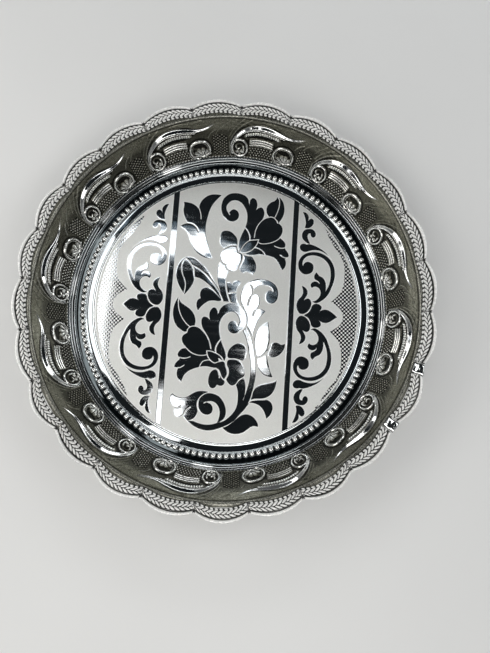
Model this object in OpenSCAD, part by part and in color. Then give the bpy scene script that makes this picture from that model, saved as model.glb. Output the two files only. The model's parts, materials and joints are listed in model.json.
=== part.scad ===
// Deep round offering plate: a flat floor inside a shallow foot ring, a beaded border, a
// flared wall with twelve embossed repeats, and a scalloped stamped rim closed by one
// make-up lobe and two small joint plates. The plate stands on its foot ring at z = 0.

/* [Plate] */
// Outside diameter over the lobe peaks, mm
rim_d = 265; // [220:1:320]
// Height from the table to the top of the wall strip, mm
wall_top_z = 37; // [25:0.5:60]
// Thickness of the sheet metal, mm
sheet = 0.8; // [0.5:0.1:1.5]

/* [Dish pan] */
// Diameter of the flat floor, mm
floor_d = 184.4; // [160:0.1:200]
// Width of the foot ring groove, mm
groove_w = 5.6; // [3:0.1:9]
// Depth of the groove below the floor, mm
groove_depth = 0.9; // [0.4:0.1:2]
// How much higher the shoulder is than the floor, mm
shoulder_rise = 0.4; // [0:0.1:1.5]
// Width of the shoulder from the groove to the turned-up edge, mm
shoulder_w = 7.6; // [6:0.1:12]
// Height of the turned-up edge above the shoulder, mm
edge_h = 0.9; // [0.5:0.1:3]

/* [Beaded border] */
// Number of beads
bead_count = 144; // [96:12:180]
// Radius of one bead, mm
bead_r = 2; // [1:0.1:2.6]
// Distance of the bead centres outside the groove, mm
bead_inset = 2.2; // [2:0.1:4]

/* [Wall band] */
// Number of embossed repeats round the wall
repeats = 12; // [8:1:16]
// Inside radius of the wall at its lower edge, mm
wall_bottom_r = 106.2; // [100:0.1:115]
// Inside radius of the wall at its top, mm
wall_top_r = 121.4; // [110:0.1:130]
// Width of the flange that carries the rim strip, mm
flange_w = 3.4; // [2:0.1:6]
// How far the embossing stands off the wall, mm
relief = 0.9; // [0.4:0.1:1.6]
// Angle of the first left scroll, degrees
first_scroll = 13; // [0:0.5:30]

/* [Rim] */
// Lobes in the continuous strip
strip_lobes = 23; // [11:1:30]
// Angle where the strip starts, degrees
strip_start = -14.5; // [-30:0.5:0]
// Angle covered by one lobe of the strip, degrees
lobe_pitch = 14.76; // [10:0.01:18]
// Angle where the closing lobe starts, degrees
closing_start = 328.2; // [320:0.1:335]
// Angle covered by the closing lobe, degrees
closing_span = 14; // [8:0.1:20]
// Radial depth of the scallops, mm
scallop = 3.9; // [1:0.1:8]
// Width of the rim strip, mm
strip_w = 6.4; // [5:0.1:12]
// Extra lift of the raised lobes, mm
lobe_lift = 1.5; // [0:0.1:3]

/* [Hidden] */
floor_r = floor_d / 2;
groove_z = sheet;                              // inside of the groove bottom
floor_z = groove_z + groove_depth;             // inside of the floor
shoulder_z = floor_z + shoulder_rise;          // top of the shoulder
groove_out = floor_r + groove_w;
shoulder_out = groove_out + shoulder_w;
bead_ring_r = groove_out + bead_inset;
wall_bottom_z = shoulder_z - sheet;
emboss_lo_z = 6.3;                             // lower edge of the embossed zone
wall_h = wall_top_z - sheet - wall_bottom_z;
wall_run = wall_top_r - wall_bottom_r;
wall_lean = atan2(wall_run, wall_h);           // lean of the wall from vertical
strip_z = wall_top_z + 0.05;                   // underside of the strip at its inner edge
strip_in = rim_d / 2 - scallop - strip_w;      // inner edge of the strip at a notch
function wall_r(z) = wall_bottom_r + wall_run * (z - wall_bottom_z) / wall_h;

// ---- dish pan: one pressed sheet ----
function pan_top() = [
  [0, floor_z], [floor_r - 0.7, floor_z], [floor_r - 0.25, floor_z - 0.1], [floor_r + 0.15, floor_z - 0.4],
  [floor_r + 0.45, groove_z + 0.15], [floor_r + 0.9, groove_z], [groove_out - 0.9, groove_z],
  [groove_out - 0.45, groove_z + 0.15], [groove_out - 0.15, groove_z + 0.5], [groove_out + 0.25, shoulder_z - 0.1],
  [groove_out + 0.7, shoulder_z], [shoulder_out - 0.25, shoulder_z], [shoulder_out, shoulder_z + 0.2],
  [shoulder_out, shoulder_z + edge_h]
];
function pan_under() = [
  [wall_bottom_r - 0.06, shoulder_z + edge_h], [wall_bottom_r - 0.06, shoulder_z - sheet + 0.4],
  [wall_bottom_r - 0.4, shoulder_z - sheet], [groove_out + 0.75, shoulder_z - sheet],
  [groove_out + 0.45, shoulder_z - sheet - 0.15], [groove_out + 0.2, 0.55], [groove_out - 0.1, 0.15],
  [groove_out - 0.6, 0], [floor_r + 0.6, 0], [floor_r + 0.1, 0.15], [floor_r - 0.25, floor_z - sheet - 0.25],
  [floor_r - 0.7, floor_z - sheet], [0, floor_z - sheet]
];

module dish_pan() {
  color([0.76, 0.77, 0.75])
    rotate_extrude($fn = 180) polygon(concat(pan_top(), pan_under()));
}

// A skin through equal sections: pts is a list of sections, each with the same number of
// points, closed round the section. ring joins the last section to the first.
module skin(secs, ring) {
  n = len(secs);
  m = len(secs[0]);
  pts = [for (s = secs) for (p = s) p];
  last = ring ? n - 1 : n - 2;
  sides = [for (i = [0:last]) for (j = [0:m - 1])
    let (a = i * m + j, b = i * m + (j + 1) % m, c = ((i + 1) % n) * m + (j + 1) % m, d = ((i + 1) % n) * m + j)
    each [[a, b, c], [a, c, d]]];
  caps = ring ? [] : [[for (j = [m - 1:-1:0]) j], [for (j = [0:m - 1]) (n - 1) * m + j]];
  polyhedron(points = pts, faces = concat(sides, caps), convexity = 8);
}

function at(r, z, a) = [r * cos(a), r * sin(a), z];

// ---- beaded border: a half-round wire pressed into beads ----
bead_z = shoulder_z + 0.6;
function bead_section(a, q) =
  let (x = abs(q - 2) / 2, rho = q == 0 ? bead_r * 0.42 : bead_r * (q == 2 ? 1 : 0.84),
       low = shoulder_z + 0.02, side = sqrt(max(rho * rho - pow(bead_z - low, 2), 0.04)))
  [at(bead_ring_r - side, low, a), at(bead_ring_r - rho * cos(12), max(bead_z + rho * sin(12), low + 0.05), a),
   at(bead_ring_r - rho * cos(55), bead_z + rho * sin(55), a), at(bead_ring_r, bead_z + rho, a),
   at(bead_ring_r + rho * cos(55), bead_z + rho * sin(55), a),
   at(bead_ring_r + rho * cos(12), max(bead_z + rho * sin(12), low + 0.05), a), at(bead_ring_r + side, low, a)];

module bead_border() {
  color([0.82, 0.83, 0.82])
    skin([for (i = [0:bead_count - 1]) for (q = [0:3])
      bead_section(-(i + q / 4) * 360 / bead_count, q)], true);
}

// ---- wall band: one embossed strip bent into a flared ring ----
// Flat outline helpers for one repeat: x runs round the wall, y up its slope.
function arc_pts(cx, cy, r, a0, a1, n) = [for (i = [0:n]) [cx + r * cos(a0 + (a1 - a0) * i / n), cy + r * sin(a0 + (a1 - a0) * i / n)]];
function leaf_y(u) = 24.3 + 6.2 * pow(1 - u, 3) - 2.2 * sin(180 * pow(1 - u, 0.8)) * (1 - u) + 2.6 * sin(180 * u) * u - 9.5 * pow(u, 4);
function leaf_w(u) = 0.25 + 2.9 * pow(sin(180 * pow(u, 1.15)), 1.3) * (1 - 0.25 * u);
leaf_steps = 14;
leaf_pts = concat(
  [for (i = [0:leaf_steps]) let (u = i / leaf_steps) [-5.5 + 41 * u, leaf_y(u) + leaf_w(u) / 2]],
  [for (i = [leaf_steps:-1:0]) let (u = i / leaf_steps) [-5.5 + 41 * u, leaf_y(u) - leaf_w(u) / 2]]);

module ring2d(r, w) {
  difference() {
    circle(r = r, $fn = 48);
    circle(r = r - w, $fn = 48);
  }
}

module repeat2d() {
  polygon(leaf_pts);
  translate([0, 8.4]) ring2d(8, 1.5);
  translate([0, 6.6]) circle(r = 4.6, $fn = 36);
  translate([32.6, 8.1]) ring2d(5.9, 1.4);
  translate([32.6, 6.4]) circle(r = 2.7, $fn = 36);
  for (k = [0:3]) translate([11.2, 2.2 + 3.1 * k]) square([13.2, 1.5]);
  translate([36.2, 0.6]) square([0.9, 14.6]);
  for (k = [0:2]) translate([41.2 + 3.1 * k, 2.2]) square([1.5, 12.2]);
}

module emboss_skin() {
  lo = emboss_lo_z;
  hi = wall_top_z - 1.6;
  rotate_extrude($fn = 180)
    polygon([[wall_r(lo) - relief, lo], [wall_r(hi) - relief, hi], [wall_r(hi) + sheet / 2, hi], [wall_r(lo) + sheet / 2, lo]]);
}

module wall_band() {
  flange = [wall_top_r + flange_w, wall_top_z];
  color([0.62, 0.62, 0.58]) union() {
    rotate_extrude($fn = 180) polygon([
      [wall_bottom_r, wall_bottom_z], [wall_r(emboss_lo_z - 1.3), emboss_lo_z - 1.3],
      [wall_r(emboss_lo_z - 0.7) - 0.8, emboss_lo_z - 0.7], [wall_r(emboss_lo_z - 0.1) - 0.8, emboss_lo_z - 0.1],
      [wall_r(emboss_lo_z + 0.4), emboss_lo_z + 0.4],
      [wall_top_r, wall_top_z - sheet], [wall_top_r + 0.5, wall_top_z - 0.15], [wall_top_r + 0.9, wall_top_z],
      flange, [flange[0], wall_top_z - sheet], [wall_top_r + 1.4, wall_top_z - sheet],
      [wall_top_r + 0.95, wall_top_z - sheet - 0.6], [wall_bottom_r + sheet, wall_bottom_z]]);
    intersection() {
      emboss_skin();
      for (k = [0:repeats - 1])
        rotate([0, 0, first_scroll + k * 360 / repeats])
          panel_prism();
    }
  }
}

// The repeat's outlines pushed through the wall, square to it at the middle of the repeat.
module panel_prism() {
  mid = 180 * 17 / (PI * wall_r(20));
  rotate([0, 0, mid])
    translate([wall_r(emboss_lo_z + 0.4), 0, emboss_lo_z + 0.4])
      rotate([0, wall_lean, 0])
        rotate([90, 0, 90])
          translate([0, 0, -6])
            linear_extrude(height = 12)
              translate([-17, 0]) repeat2d();
}

// ---- rim: a stamped strip of domed lobes with a plain outer lip ----
lift_table = [0, 0, 0, 0, 0, 0.1, 0.2, 0.2, 0.2, 0.3, 0.35, 0.5, 0.4, 0.1, 0.1, 1, 0.1, 0.8, 0.15, 1, 0.1, 0.95, 0.3];
// Section of the strip: u across it from 0 (inner edge) to 1 (outer edge), z above the
// flange. The upper face comes first, then the under face back to the inner edge.
strip_top = [[0, 0.7], [0.12, 1.6], [0.34, 2.5], [0.56, 2.5], [0.74, 1.7], [0.83, 1.15], [0.9, 1.8], [0.97, 1.75], [1, 1.2]];
strip_under = [[0.99, 0.45], [0.83, 0.35], [0.62, 1.3], [0.3, 1.3], [0.12, 0.55], [0.02, 0]];
strip_sec = concat(strip_top, strip_under);

function lobe_section(a, u, lift) =
  let (arch = 1 - pow(2 * u - 1, 2), pinch = 1 - 0.45 * pow(abs(2 * u - 1), 14),
       r0 = strip_in + (1.2 + 1.3 * lift) * arch, w = strip_w + (scallop - 1.2 - 0.6 * lift) * arch)
  [for (p = strip_sec) at(r0 + w * p[0], strip_z + p[1] * (p[1] > 0.9 ? pinch : 1) + lobe_lift * lift * arch, a)];

module rim_strip() {
  steps = 10;
  color([0.86, 0.87, 0.85])
    skin([for (i = [0:strip_lobes - 1]) for (q = [0:(i == strip_lobes - 1 ? steps : steps - 1)])
      lobe_section(strip_start + (i + q / steps) * lobe_pitch, q / steps, lift_table[i % len(lift_table)])], false);
}

module closing_lobe() {
  steps = 10;
  color([0.85, 0.86, 0.84])
    skin([for (q = [0:steps])
      lobe_section(closing_start + closing_span * q / steps, 0.04 + 0.92 * q / steps, 0.95)], false);
}

// Flat plates that bridge the two open joints beside the closing lobe.
module joint_plate(a0, a1, w) {
  lo = strip_z;
  skin([for (a = [a0 + 0.12, a1 - 0.12])
    let (r0 = strip_in + 0.3, r1 = strip_in + w)
    [at(r0, lo, a), at(r0, lo + sheet, a), at(r1, lo + sheet + 0.5, a), at(r1, lo + 0.5, a)]], false);
}

module joint_plate_a() {
  color([0.84, 0.85, 0.84]) joint_plate(strip_start + strip_lobes * lobe_pitch, closing_start, strip_w + 1.3);
}

module joint_plate_b() {
  color([0.84, 0.85, 0.84]) joint_plate(closing_start + closing_span, strip_start + 360, strip_w + 1.5);
}

dish_pan();
bead_border();
wall_band();
rim_strip();
closing_lobe();
joint_plate_a();
joint_plate_b();
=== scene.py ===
import json
import math
import bpy
import numpy as np
from mathutils import Euler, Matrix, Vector

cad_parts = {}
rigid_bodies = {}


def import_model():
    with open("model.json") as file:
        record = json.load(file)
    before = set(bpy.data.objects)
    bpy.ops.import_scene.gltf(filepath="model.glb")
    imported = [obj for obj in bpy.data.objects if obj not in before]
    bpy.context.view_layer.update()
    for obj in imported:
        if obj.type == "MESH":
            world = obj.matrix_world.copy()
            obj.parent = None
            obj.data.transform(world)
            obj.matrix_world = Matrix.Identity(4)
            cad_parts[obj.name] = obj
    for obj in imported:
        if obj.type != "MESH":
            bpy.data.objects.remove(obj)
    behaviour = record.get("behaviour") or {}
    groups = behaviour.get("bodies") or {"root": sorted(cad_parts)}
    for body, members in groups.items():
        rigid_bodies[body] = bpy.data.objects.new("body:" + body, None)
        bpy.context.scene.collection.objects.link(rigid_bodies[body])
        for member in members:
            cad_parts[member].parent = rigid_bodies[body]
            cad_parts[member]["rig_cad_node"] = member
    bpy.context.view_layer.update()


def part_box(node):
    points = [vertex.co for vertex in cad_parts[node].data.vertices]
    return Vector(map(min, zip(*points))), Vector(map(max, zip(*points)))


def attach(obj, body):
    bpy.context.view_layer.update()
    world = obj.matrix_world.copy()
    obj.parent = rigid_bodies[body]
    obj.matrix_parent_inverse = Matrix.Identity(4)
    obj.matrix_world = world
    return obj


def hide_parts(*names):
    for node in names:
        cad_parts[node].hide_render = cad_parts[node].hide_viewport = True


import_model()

MM = 0.001
TAU = 2 * math.pi

# ------------------------------------------------------------------ helpers


def mesh_object(name, verts, faces, attrs=None, mats=(), face_mat=None, smooth=True):
    """One mesh object from arrays: verts in mm, faces as one array or several of equal-sided faces."""
    me = bpy.data.meshes.new(name)
    faces = [f for f in (faces if isinstance(faces, list) else [faces]) if len(f)]
    verts = np.asarray(verts, np.float64) * MM
    me.vertices.add(len(verts))
    me.vertices.foreach_set("co", verts.astype(np.float32).ravel())
    flat = np.concatenate([f.ravel() for f in faces]).astype(np.int32)
    size = np.concatenate([np.full(len(f), f.shape[1], np.int32) for f in faces])
    start = np.concatenate([[0], np.cumsum(size)[:-1]]).astype(np.int32)
    me.loops.add(len(flat))
    me.loops.foreach_set("vertex_index", flat)
    me.polygons.add(len(size))
    me.polygons.foreach_set("loop_start", start)
    me.update(calc_edges=True)
    me.validate()
    if smooth:
        me.polygons.foreach_set("use_smooth", np.ones(len(me.polygons), bool))
    for k, v in (attrs or {}).items():
        a = me.attributes.new(k, "FLOAT", "POINT")
        a.data.foreach_set("value", np.asarray(v, np.float32))
    for m in mats:
        me.materials.append(m)
    if face_mat is not None:
        me.polygons.foreach_set("material_index", np.asarray(face_mat, np.int32))
    me.update()
    ob = bpy.data.objects.new(name, me)
    bpy.context.scene.collection.objects.link(ob)
    return ob


def smoothstep(a, b, x):
    t = np.clip((x - a) / (b - a), 0, 1)
    return t * t * (3 - 2 * t)


def wob(x, y, size, seed, n=7):
    """Smooth seeded waviness, about -1 to 1, with features of the given size."""
    g = np.random.default_rng(seed)
    out = np.zeros(np.broadcast(x, y).shape)
    for _ in range(n):
        a, p = g.uniform(0, TAU, 2)
        k = TAU / (size * g.uniform(0.7, 1.6))
        out += np.sin(k * (x * math.cos(a) + y * math.sin(a)) + p)
    return out / math.sqrt(n * 2.0)


def spline(pts, closed, n=5):
    """A smooth line through the points; a point with a third number is a sharp corner."""
    P = [np.array(p[:2], float) for p in pts]
    K = [len(p) > 2 for p in pts]
    N = len(P)
    out = []
    for i in range(N if closed else N - 1):
        p0, p1, p2, p3 = P[(i - 1) % N], P[i], P[(i + 1) % N], P[(i + 2) % N]
        c1 = K[i] or (not closed and i == 0)
        c2 = K[(i + 1) % N] or (not closed and i == N - 2)
        d = np.linalg.norm(p2 - p1)

        def tangent(a, b, c):
            d1, d2 = np.linalg.norm(b - a) + 1e-9, np.linalg.norm(c - b) + 1e-9
            return ((b - a) / d1 * d2 + (c - b) / d2 * d1) / (d1 + d2)

        m1 = None if c1 else tangent(p0, p1, p2) * d
        m2 = None if c2 else tangent(p1, p2, p3) * d
        if m1 is None and m2 is None:
            m1 = m2 = p2 - p1
        elif m1 is None:
            m1 = (3 * (p2 - p1) - m2) / 2
        elif m2 is None:
            m2 = (3 * (p2 - p1) - m1) / 2
        for k in range(n):
            t = k / n
            out.append((2 * t**3 - 3 * t**2 + 1) * p1 + (t**3 - 2 * t**2 + t) * m1
                       + (-2 * t**3 + 3 * t**2) * p2 + (t**3 - t**2) * m2)
    if not closed:
        out.append(P[-1])
    return np.array(out)


def seg_dist(px, py, a, b):
    d = b - a
    L = max(float(d @ d), 1e-12)
    t = np.clip(((px - a[0]) * d[0] + (py - a[1]) * d[1]) / L, 0, 1)
    ex, ey = px - a[0] - t * d[0], py - a[1] - t * d[1]
    return ex * ex + ey * ey, t


def line_field(field, X, Y, line, reach=1.5):
    """Lowers field to the distance from the open line, within reach of it."""
    lo, hi = line.min(0) - reach, line.max(0) + reach
    m = np.nonzero((X > lo[0]) & (X < hi[0]) & (Y > lo[1]) & (Y < hi[1]))[0]
    if not len(m):
        return
    px, py = X[m], Y[m]
    best = np.full(len(m), 1e9)
    for i in range(len(line) - 1):
        best = np.minimum(best, seg_dist(px, py, line[i], line[i + 1])[0])
    field[m] = np.minimum(field[m], np.sqrt(best))


def shape_field(field, X, Y, poly, reach=2.0):
    """Lowers field to the signed distance from the closed outline, negative inside."""
    lo, hi = poly.min(0) - reach, poly.max(0) + reach
    m = np.nonzero((X > lo[0]) & (X < hi[0]) & (Y > lo[1]) & (Y < hi[1]))[0]
    if not len(m):
        return
    px, py = X[m], Y[m]
    best = np.full(len(m), 1e9)
    inside = np.zeros(len(m), bool)
    for i in range(len(poly)):
        a, b = poly[i], poly[(i + 1) % len(poly)]
        best = np.minimum(best, seg_dist(px, py, a, b)[0])
        cross = (a[1] > py) != (b[1] > py)
        if cross.any():
            xi = a[0] + (py - a[1]) / (b[1] - a[1] + 1e-18) * (b[0] - a[0])
            inside ^= cross & (px < xi)
    sd = np.sqrt(best) * np.where(inside, -1.0, 1.0)
    field[m] = np.minimum(field[m], sd)


# ------------------------------------------------------------------ materials


class Nodes:
    """Small helper round one material's node tree."""

    def __init__(self, name):
        self.mat = bpy.data.materials.new(name)
        self.mat.use_nodes = True
        self.t = self.mat.node_tree
        self.t.nodes.clear()
        self.out = self.t.nodes.new("ShaderNodeOutputMaterial")
        self.bsdf = self.t.nodes.new("ShaderNodeBsdfPrincipled")
        self.t.links.new(self.bsdf.outputs[0], self.out.inputs[0])
        self.coord = self.t.nodes.new("ShaderNodeTexCoord").outputs["Object"]

    def put(self, socket, value):
        if isinstance(value, bpy.types.NodeSocket):
            self.t.links.new(value, socket)
        else:
            socket.default_value = value

    def attr(self, name):
        n = self.t.nodes.new("ShaderNodeAttribute")
        n.attribute_type = "GEOMETRY"
        n.attribute_name = name
        return n.outputs["Fac"]

    def noise(self, scale, detail=3.0, rough=0.55, stretch=None, turn=None, offset=None):
        src = self.coord
        if stretch or turn or offset:
            m = self.t.nodes.new("ShaderNodeMapping")
            m.inputs["Scale"].default_value = stretch or (1, 1, 1)
            m.inputs["Rotation"].default_value = turn or (0, 0, 0)
            m.inputs["Location"].default_value = offset or (0, 0, 0)
            self.t.links.new(src, m.inputs[0])
            src = m.outputs[0]
        n = self.t.nodes.new("ShaderNodeTexNoise")
        n.inputs["Scale"].default_value = scale
        n.inputs["Detail"].default_value = detail
        n.inputs["Roughness"].default_value = rough
        self.t.links.new(src, n.inputs["Vector"])
        return n.outputs["Fac"]

    def ramp(self, value, a, b, lo=0.0, hi=1.0, smooth=True):
        n = self.t.nodes.new("ShaderNodeMapRange")
        n.interpolation_type = "SMOOTHSTEP" if smooth else "LINEAR"
        n.clamp = True
        self.put(n.inputs["Value"], value)
        for k, v in (("From Min", a), ("From Max", b), ("To Min", lo), ("To Max", hi)):
            self.put(n.inputs[k], v)
        return n.outputs["Result"]

    def math(self, op, a, b=0.0):
        n = self.t.nodes.new("ShaderNodeMath")
        n.operation = op
        self.put(n.inputs[0], a)
        if len(n.inputs) > 1:
            self.put(n.inputs[1], b)
        return n.outputs[0]

    def mix(self, fac, a, b, kind="RGBA", blend="MIX"):
        n = self.t.nodes.new("ShaderNodeMix")
        n.data_type = kind
        if kind == "RGBA":
            n.blend_type = blend
            ins, out = (n.inputs[6], n.inputs[7]), n.outputs[2]
        else:
            ins, out = (n.inputs[2], n.inputs[3]), n.outputs[0]
        self.put(n.inputs[0], fac)
        self.put(ins[0], a)
        self.put(ins[1], b)
        return out

    def bump(self, height, strength, distance, normal=None):
        n = self.t.nodes.new("ShaderNodeBump")
        n.inputs["Strength"].default_value = strength
        n.inputs["Distance"].default_value = distance
        self.put(n.inputs["Height"], height)
        if normal is not None:
            self.t.links.new(normal, n.inputs["Normal"])
        return n.outputs[0]

    def xyz(self):
        n = self.t.nodes.new("ShaderNodeSeparateXYZ")
        self.t.links.new(self.coord, n.inputs[0])
        return n.outputs[0], n.outputs[1], n.outputs[2]

    def scratches(self, turn, scale=420.0):
        """Sparse hairlines: stretched noise cut near its middle value."""
        n = self.noise(scale, 2.0, 0.5, stretch=(1.0, 0.035, 0.6), turn=(0, 0, turn))
        d = self.math("ABSOLUTE", self.math("SUBTRACT", n, 0.5))
        near = self.ramp(d, 0.004, 0.014, 1.0, 0.0)
        patch = self.ramp(self.noise(45.0, 2.0, 0.5, offset=(turn, 0.3, 0)), 0.52, 0.66)
        return self.math("MULTIPLY", near, patch)

    def finish(self, colour, rough, normal, metallic=1.0):
        self.put(self.bsdf.inputs["Base Color"], colour)
        self.put(self.bsdf.inputs["Roughness"], rough)
        self.put(self.bsdf.inputs["Metallic"], metallic)
        self.put(self.bsdf.inputs["Normal"], normal)
        return self.mat


def rgb(r, g, b):
    return (r, g, b, 1.0)


def mat_floor():
    """Floor sheet: satin etched ground, mirror motifs, pale outlines, lattice patches."""
    m = Nodes("pan_silver_floor")
    sd, vein, hatch = m.attr("motif"), m.attr("vein"), m.attr("hatch")
    x, y, _ = m.xyz()
    pol = m.math("MULTIPLY", m.ramp(sd, -0.06, 0.06, 1.0, 0.0), m.ramp(vein, 0.2, 0.32))
    k = math.pi / (1.37 * MM)
    cells = m.math("MULTIPLY", m.math("SINE", m.math("MULTIPLY", x, k)), m.math("SINE", m.math("MULTIPLY", y, k)))
    cells = m.math("MULTIPLY", m.ramp(cells, -0.26, -0.12), m.ramp(hatch, -0.1, 0.1, 1.0, 0.0))
    motif = pol
    pol = m.math("MAXIMUM", pol, cells)
    line = m.math("MULTIPLY", m.ramp(sd, 0.34, 0.5, 1.0, 0.0), m.ramp(sd, -0.04, 0.06))
    line = m.math("MAXIMUM", line, m.math("MULTIPLY", m.ramp(vein, 0.2, 0.32, 1.0, 0.0), m.ramp(sd, -0.1, 0.1, 1.0, 0.0)))
    cloud = m.noise(22.0, 4.0, 0.6)
    fine = m.noise(2600.0, 2.0, 0.6)
    streak = m.noise(380.0, 3.0, 0.6, stretch=(0.05, 1.0, 1.0))
    ground = m.mix(m.ramp(cloud, 0.3, 0.7), rgb(0.83, 0.835, 0.80), rgb(0.90, 0.905, 0.88))
    ground = m.mix(m.ramp(fine, 0.3, 0.8), ground, rgb(0.74, 0.745, 0.72))
    ground = m.mix(m.math("MAXIMUM", line, m.ramp(hatch, -0.1, 0.1, 1.0, 0.0)), ground, rgb(0.95, 0.95, 0.93))
    mirror = m.mix(m.ramp(cloud, 0.35, 0.75), rgb(0.90, 0.915, 0.92), rgb(0.82, 0.85, 0.865))
    mirror = m.mix(m.ramp(streak, 0.5, 0.8), mirror, rgb(0.72, 0.76, 0.78))
    colour = m.mix(pol, ground, mirror)
    rough_g = m.ramp(fine, 0.25, 0.75, 0.42, 0.56, False)
    rough_m = m.math("ADD", m.ramp(streak, 0.35, 0.8, 0.035, 0.12), m.math("MULTIPLY", m.scratches(0.5), 0.06))
    rough = m.mix(pol, rough_g, rough_m, "FLOAT")
    b = m.bump(motif, 0.4, 0.00004)
    b = m.bump(m.math("MULTIPLY", fine, m.math("SUBTRACT", 1.0, pol)), 0.35, 0.00004, b)
    b = m.bump(streak, 0.10, 0.00003, b)
    metal = m.mix(pol, 0.68, 1.0, "FLOAT")
    return m.finish(colour, rough, b, metal)


def mat_polished(name, base, wear_and_shade_colour, shade_from, rough_lo, rough_hi, tarnish_and_painted_shade=None, metal=1.0, grain=1.0, wear=1.0, tarnish_and_painted_reflection=False):
    """Worked silver: bright where handled, with greyer, rougher worn spots; the hollows are darker and rougher, part
    tarnish and part painted shade.
    """
    m = Nodes(name)
    cloud = m.noise(35.0, 4.0, 0.6)
    spots = m.noise(620.0, 4.0, 0.65)
    fine = m.noise(3200.0, 2.0, 0.6)
    colour = m.mix(m.ramp(cloud, 0.3, 0.75), rgb(*base), rgb(*[c * 0.9 for c in base]))
    low = m.math("MULTIPLY", m.ramp(spots, 0.45, 0.8), wear)
    # tarnish and painted shade: the hollows given by the mask attribute take the dark second colour
    if tarnish_and_painted_shade:
        tarnish_shade_mask = m.attr(tarnish_and_painted_shade)
        low = m.math("MAXIMUM", m.math("MULTIPLY", low, 0.35), m.ramp(tarnish_shade_mask, shade_from, 0.0))
    colour = m.mix(low, colour, rgb(*wear_and_shade_colour))
    # part tarnish and part painted dark reflection: the flat shoulder outside the beads goes dark blue-grey
    if tarnish_and_painted_reflection:
        x, y, z = m.xyz()
        r = m.math("SQRT", m.math("ADD", m.math("MULTIPLY", x, x), m.math("MULTIPLY", y, y)))
        out = m.math("MULTIPLY", m.ramp(r, 0.1010, 0.1020), m.ramp(z, 0.00245, 0.0028, 1.0, 0.0))
        colour = m.mix(m.math("MULTIPLY", out, m.ramp(cloud, 0.2, 0.8, 0.95, 0.8)), colour, rgb(0.06, 0.08, 0.085))
    scr = m.math("MAXIMUM", m.scratches(0.3), m.scratches(2.1, 520.0))
    rough = m.ramp(spots, 0.3, 0.75, rough_lo, rough_hi)
    rough = m.math("ADD", m.math("ADD", rough, m.math("MULTIPLY", scr, 0.10 * wear + 0.02)), m.math("MULTIPLY", low, 0.16))
    b = m.bump(fine, 0.16 * grain, 0.00003)
    b = m.bump(spots, 0.22 * grain, 0.00007, b)
    b = m.bump(scr, 0.15 * grain, -0.00002, b)
    return m.finish(colour, rough, b, metal)


def mat_wall():
    """Embossed wall: grey-olive stippled ground, brighter worn relief, mirror leaf and margin; painted shade in the
    recesses, and a painted dark reflection, part tarnish, on the margin.
    """
    m = Nodes("embossed_silver")
    relief, pol, tarnish_shade_mask = m.attr("relief"), m.attr("pol"), m.attr("tarnish_and_painted_shade")
    cloud = m.noise(30.0, 4.0, 0.6)
    stip = m.noise(1150.0, 3.0, 0.65)
    fine = m.noise(4200.0, 2.0, 0.6)
    ground = m.mix(m.ramp(cloud, 0.3, 0.7), rgb(0.21, 0.205, 0.16), rgb(0.30, 0.295, 0.24))
    ground = m.mix(m.ramp(stip, 0.4, 0.7), ground, rgb(0.13, 0.128, 0.10))
    worn = m.mix(m.ramp(stip, 0.35, 0.75), rgb(0.92, 0.92, 0.895), rgb(0.80, 0.80, 0.77))
    up = m.ramp(relief, 0.4, 0.95)
    # painted shade: the sunk floors of the flutes, dot rows and diaper patch, and any relief under about 0.09 mm, go
    # near black
    ground = m.mix(m.ramp(relief, -0.02, 0.09), rgb(0.02, 0.02, 0.017), ground)
    # painted shade: the recess mask darkens the hollows beside the relief to near black
    colour = m.mix(tarnish_shade_mask, m.mix(up, ground, worn), rgb(0.016, 0.016, 0.014))
    colour = m.mix(pol, colour, m.mix(m.ramp(cloud, 0.35, 0.75), rgb(0.93, 0.935, 0.93), rgb(0.84, 0.85, 0.85)))
    # painted dark reflection, part tarnish: on polished rows the mask turns the plain margin dark blue-grey
    colour = m.mix(m.math("MULTIPLY", pol, tarnish_shade_mask), colour, rgb(0.018, 0.028, 0.032))
    rough = m.mix(up, m.ramp(stip, 0.3, 0.7, 0.2, 0.36), m.ramp(stip, 0.3, 0.7, 0.07, 0.16), "FLOAT")
    rough = m.mix(pol, rough, m.math("ADD", m.ramp(cloud, 0.3, 0.8, 0.05, 0.1), m.math("MULTIPLY", m.scratches(1.2), 0.15)), "FLOAT")
    keep = m.math("SUBTRACT", 1.0, m.math("MAXIMUM", m.math("MULTIPLY", pol, 0.95), m.math("MULTIPLY", up, 0.65)))
    b = m.bump(m.math("MULTIPLY", stip, keep), 0.8, 0.0002)
    b = m.bump(m.math("MULTIPLY", fine, keep), 0.3, 0.00005, b)
    b = m.bump(cloud, 0.1, 0.0002, b)
    return m.finish(colour, rough, b)


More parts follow.
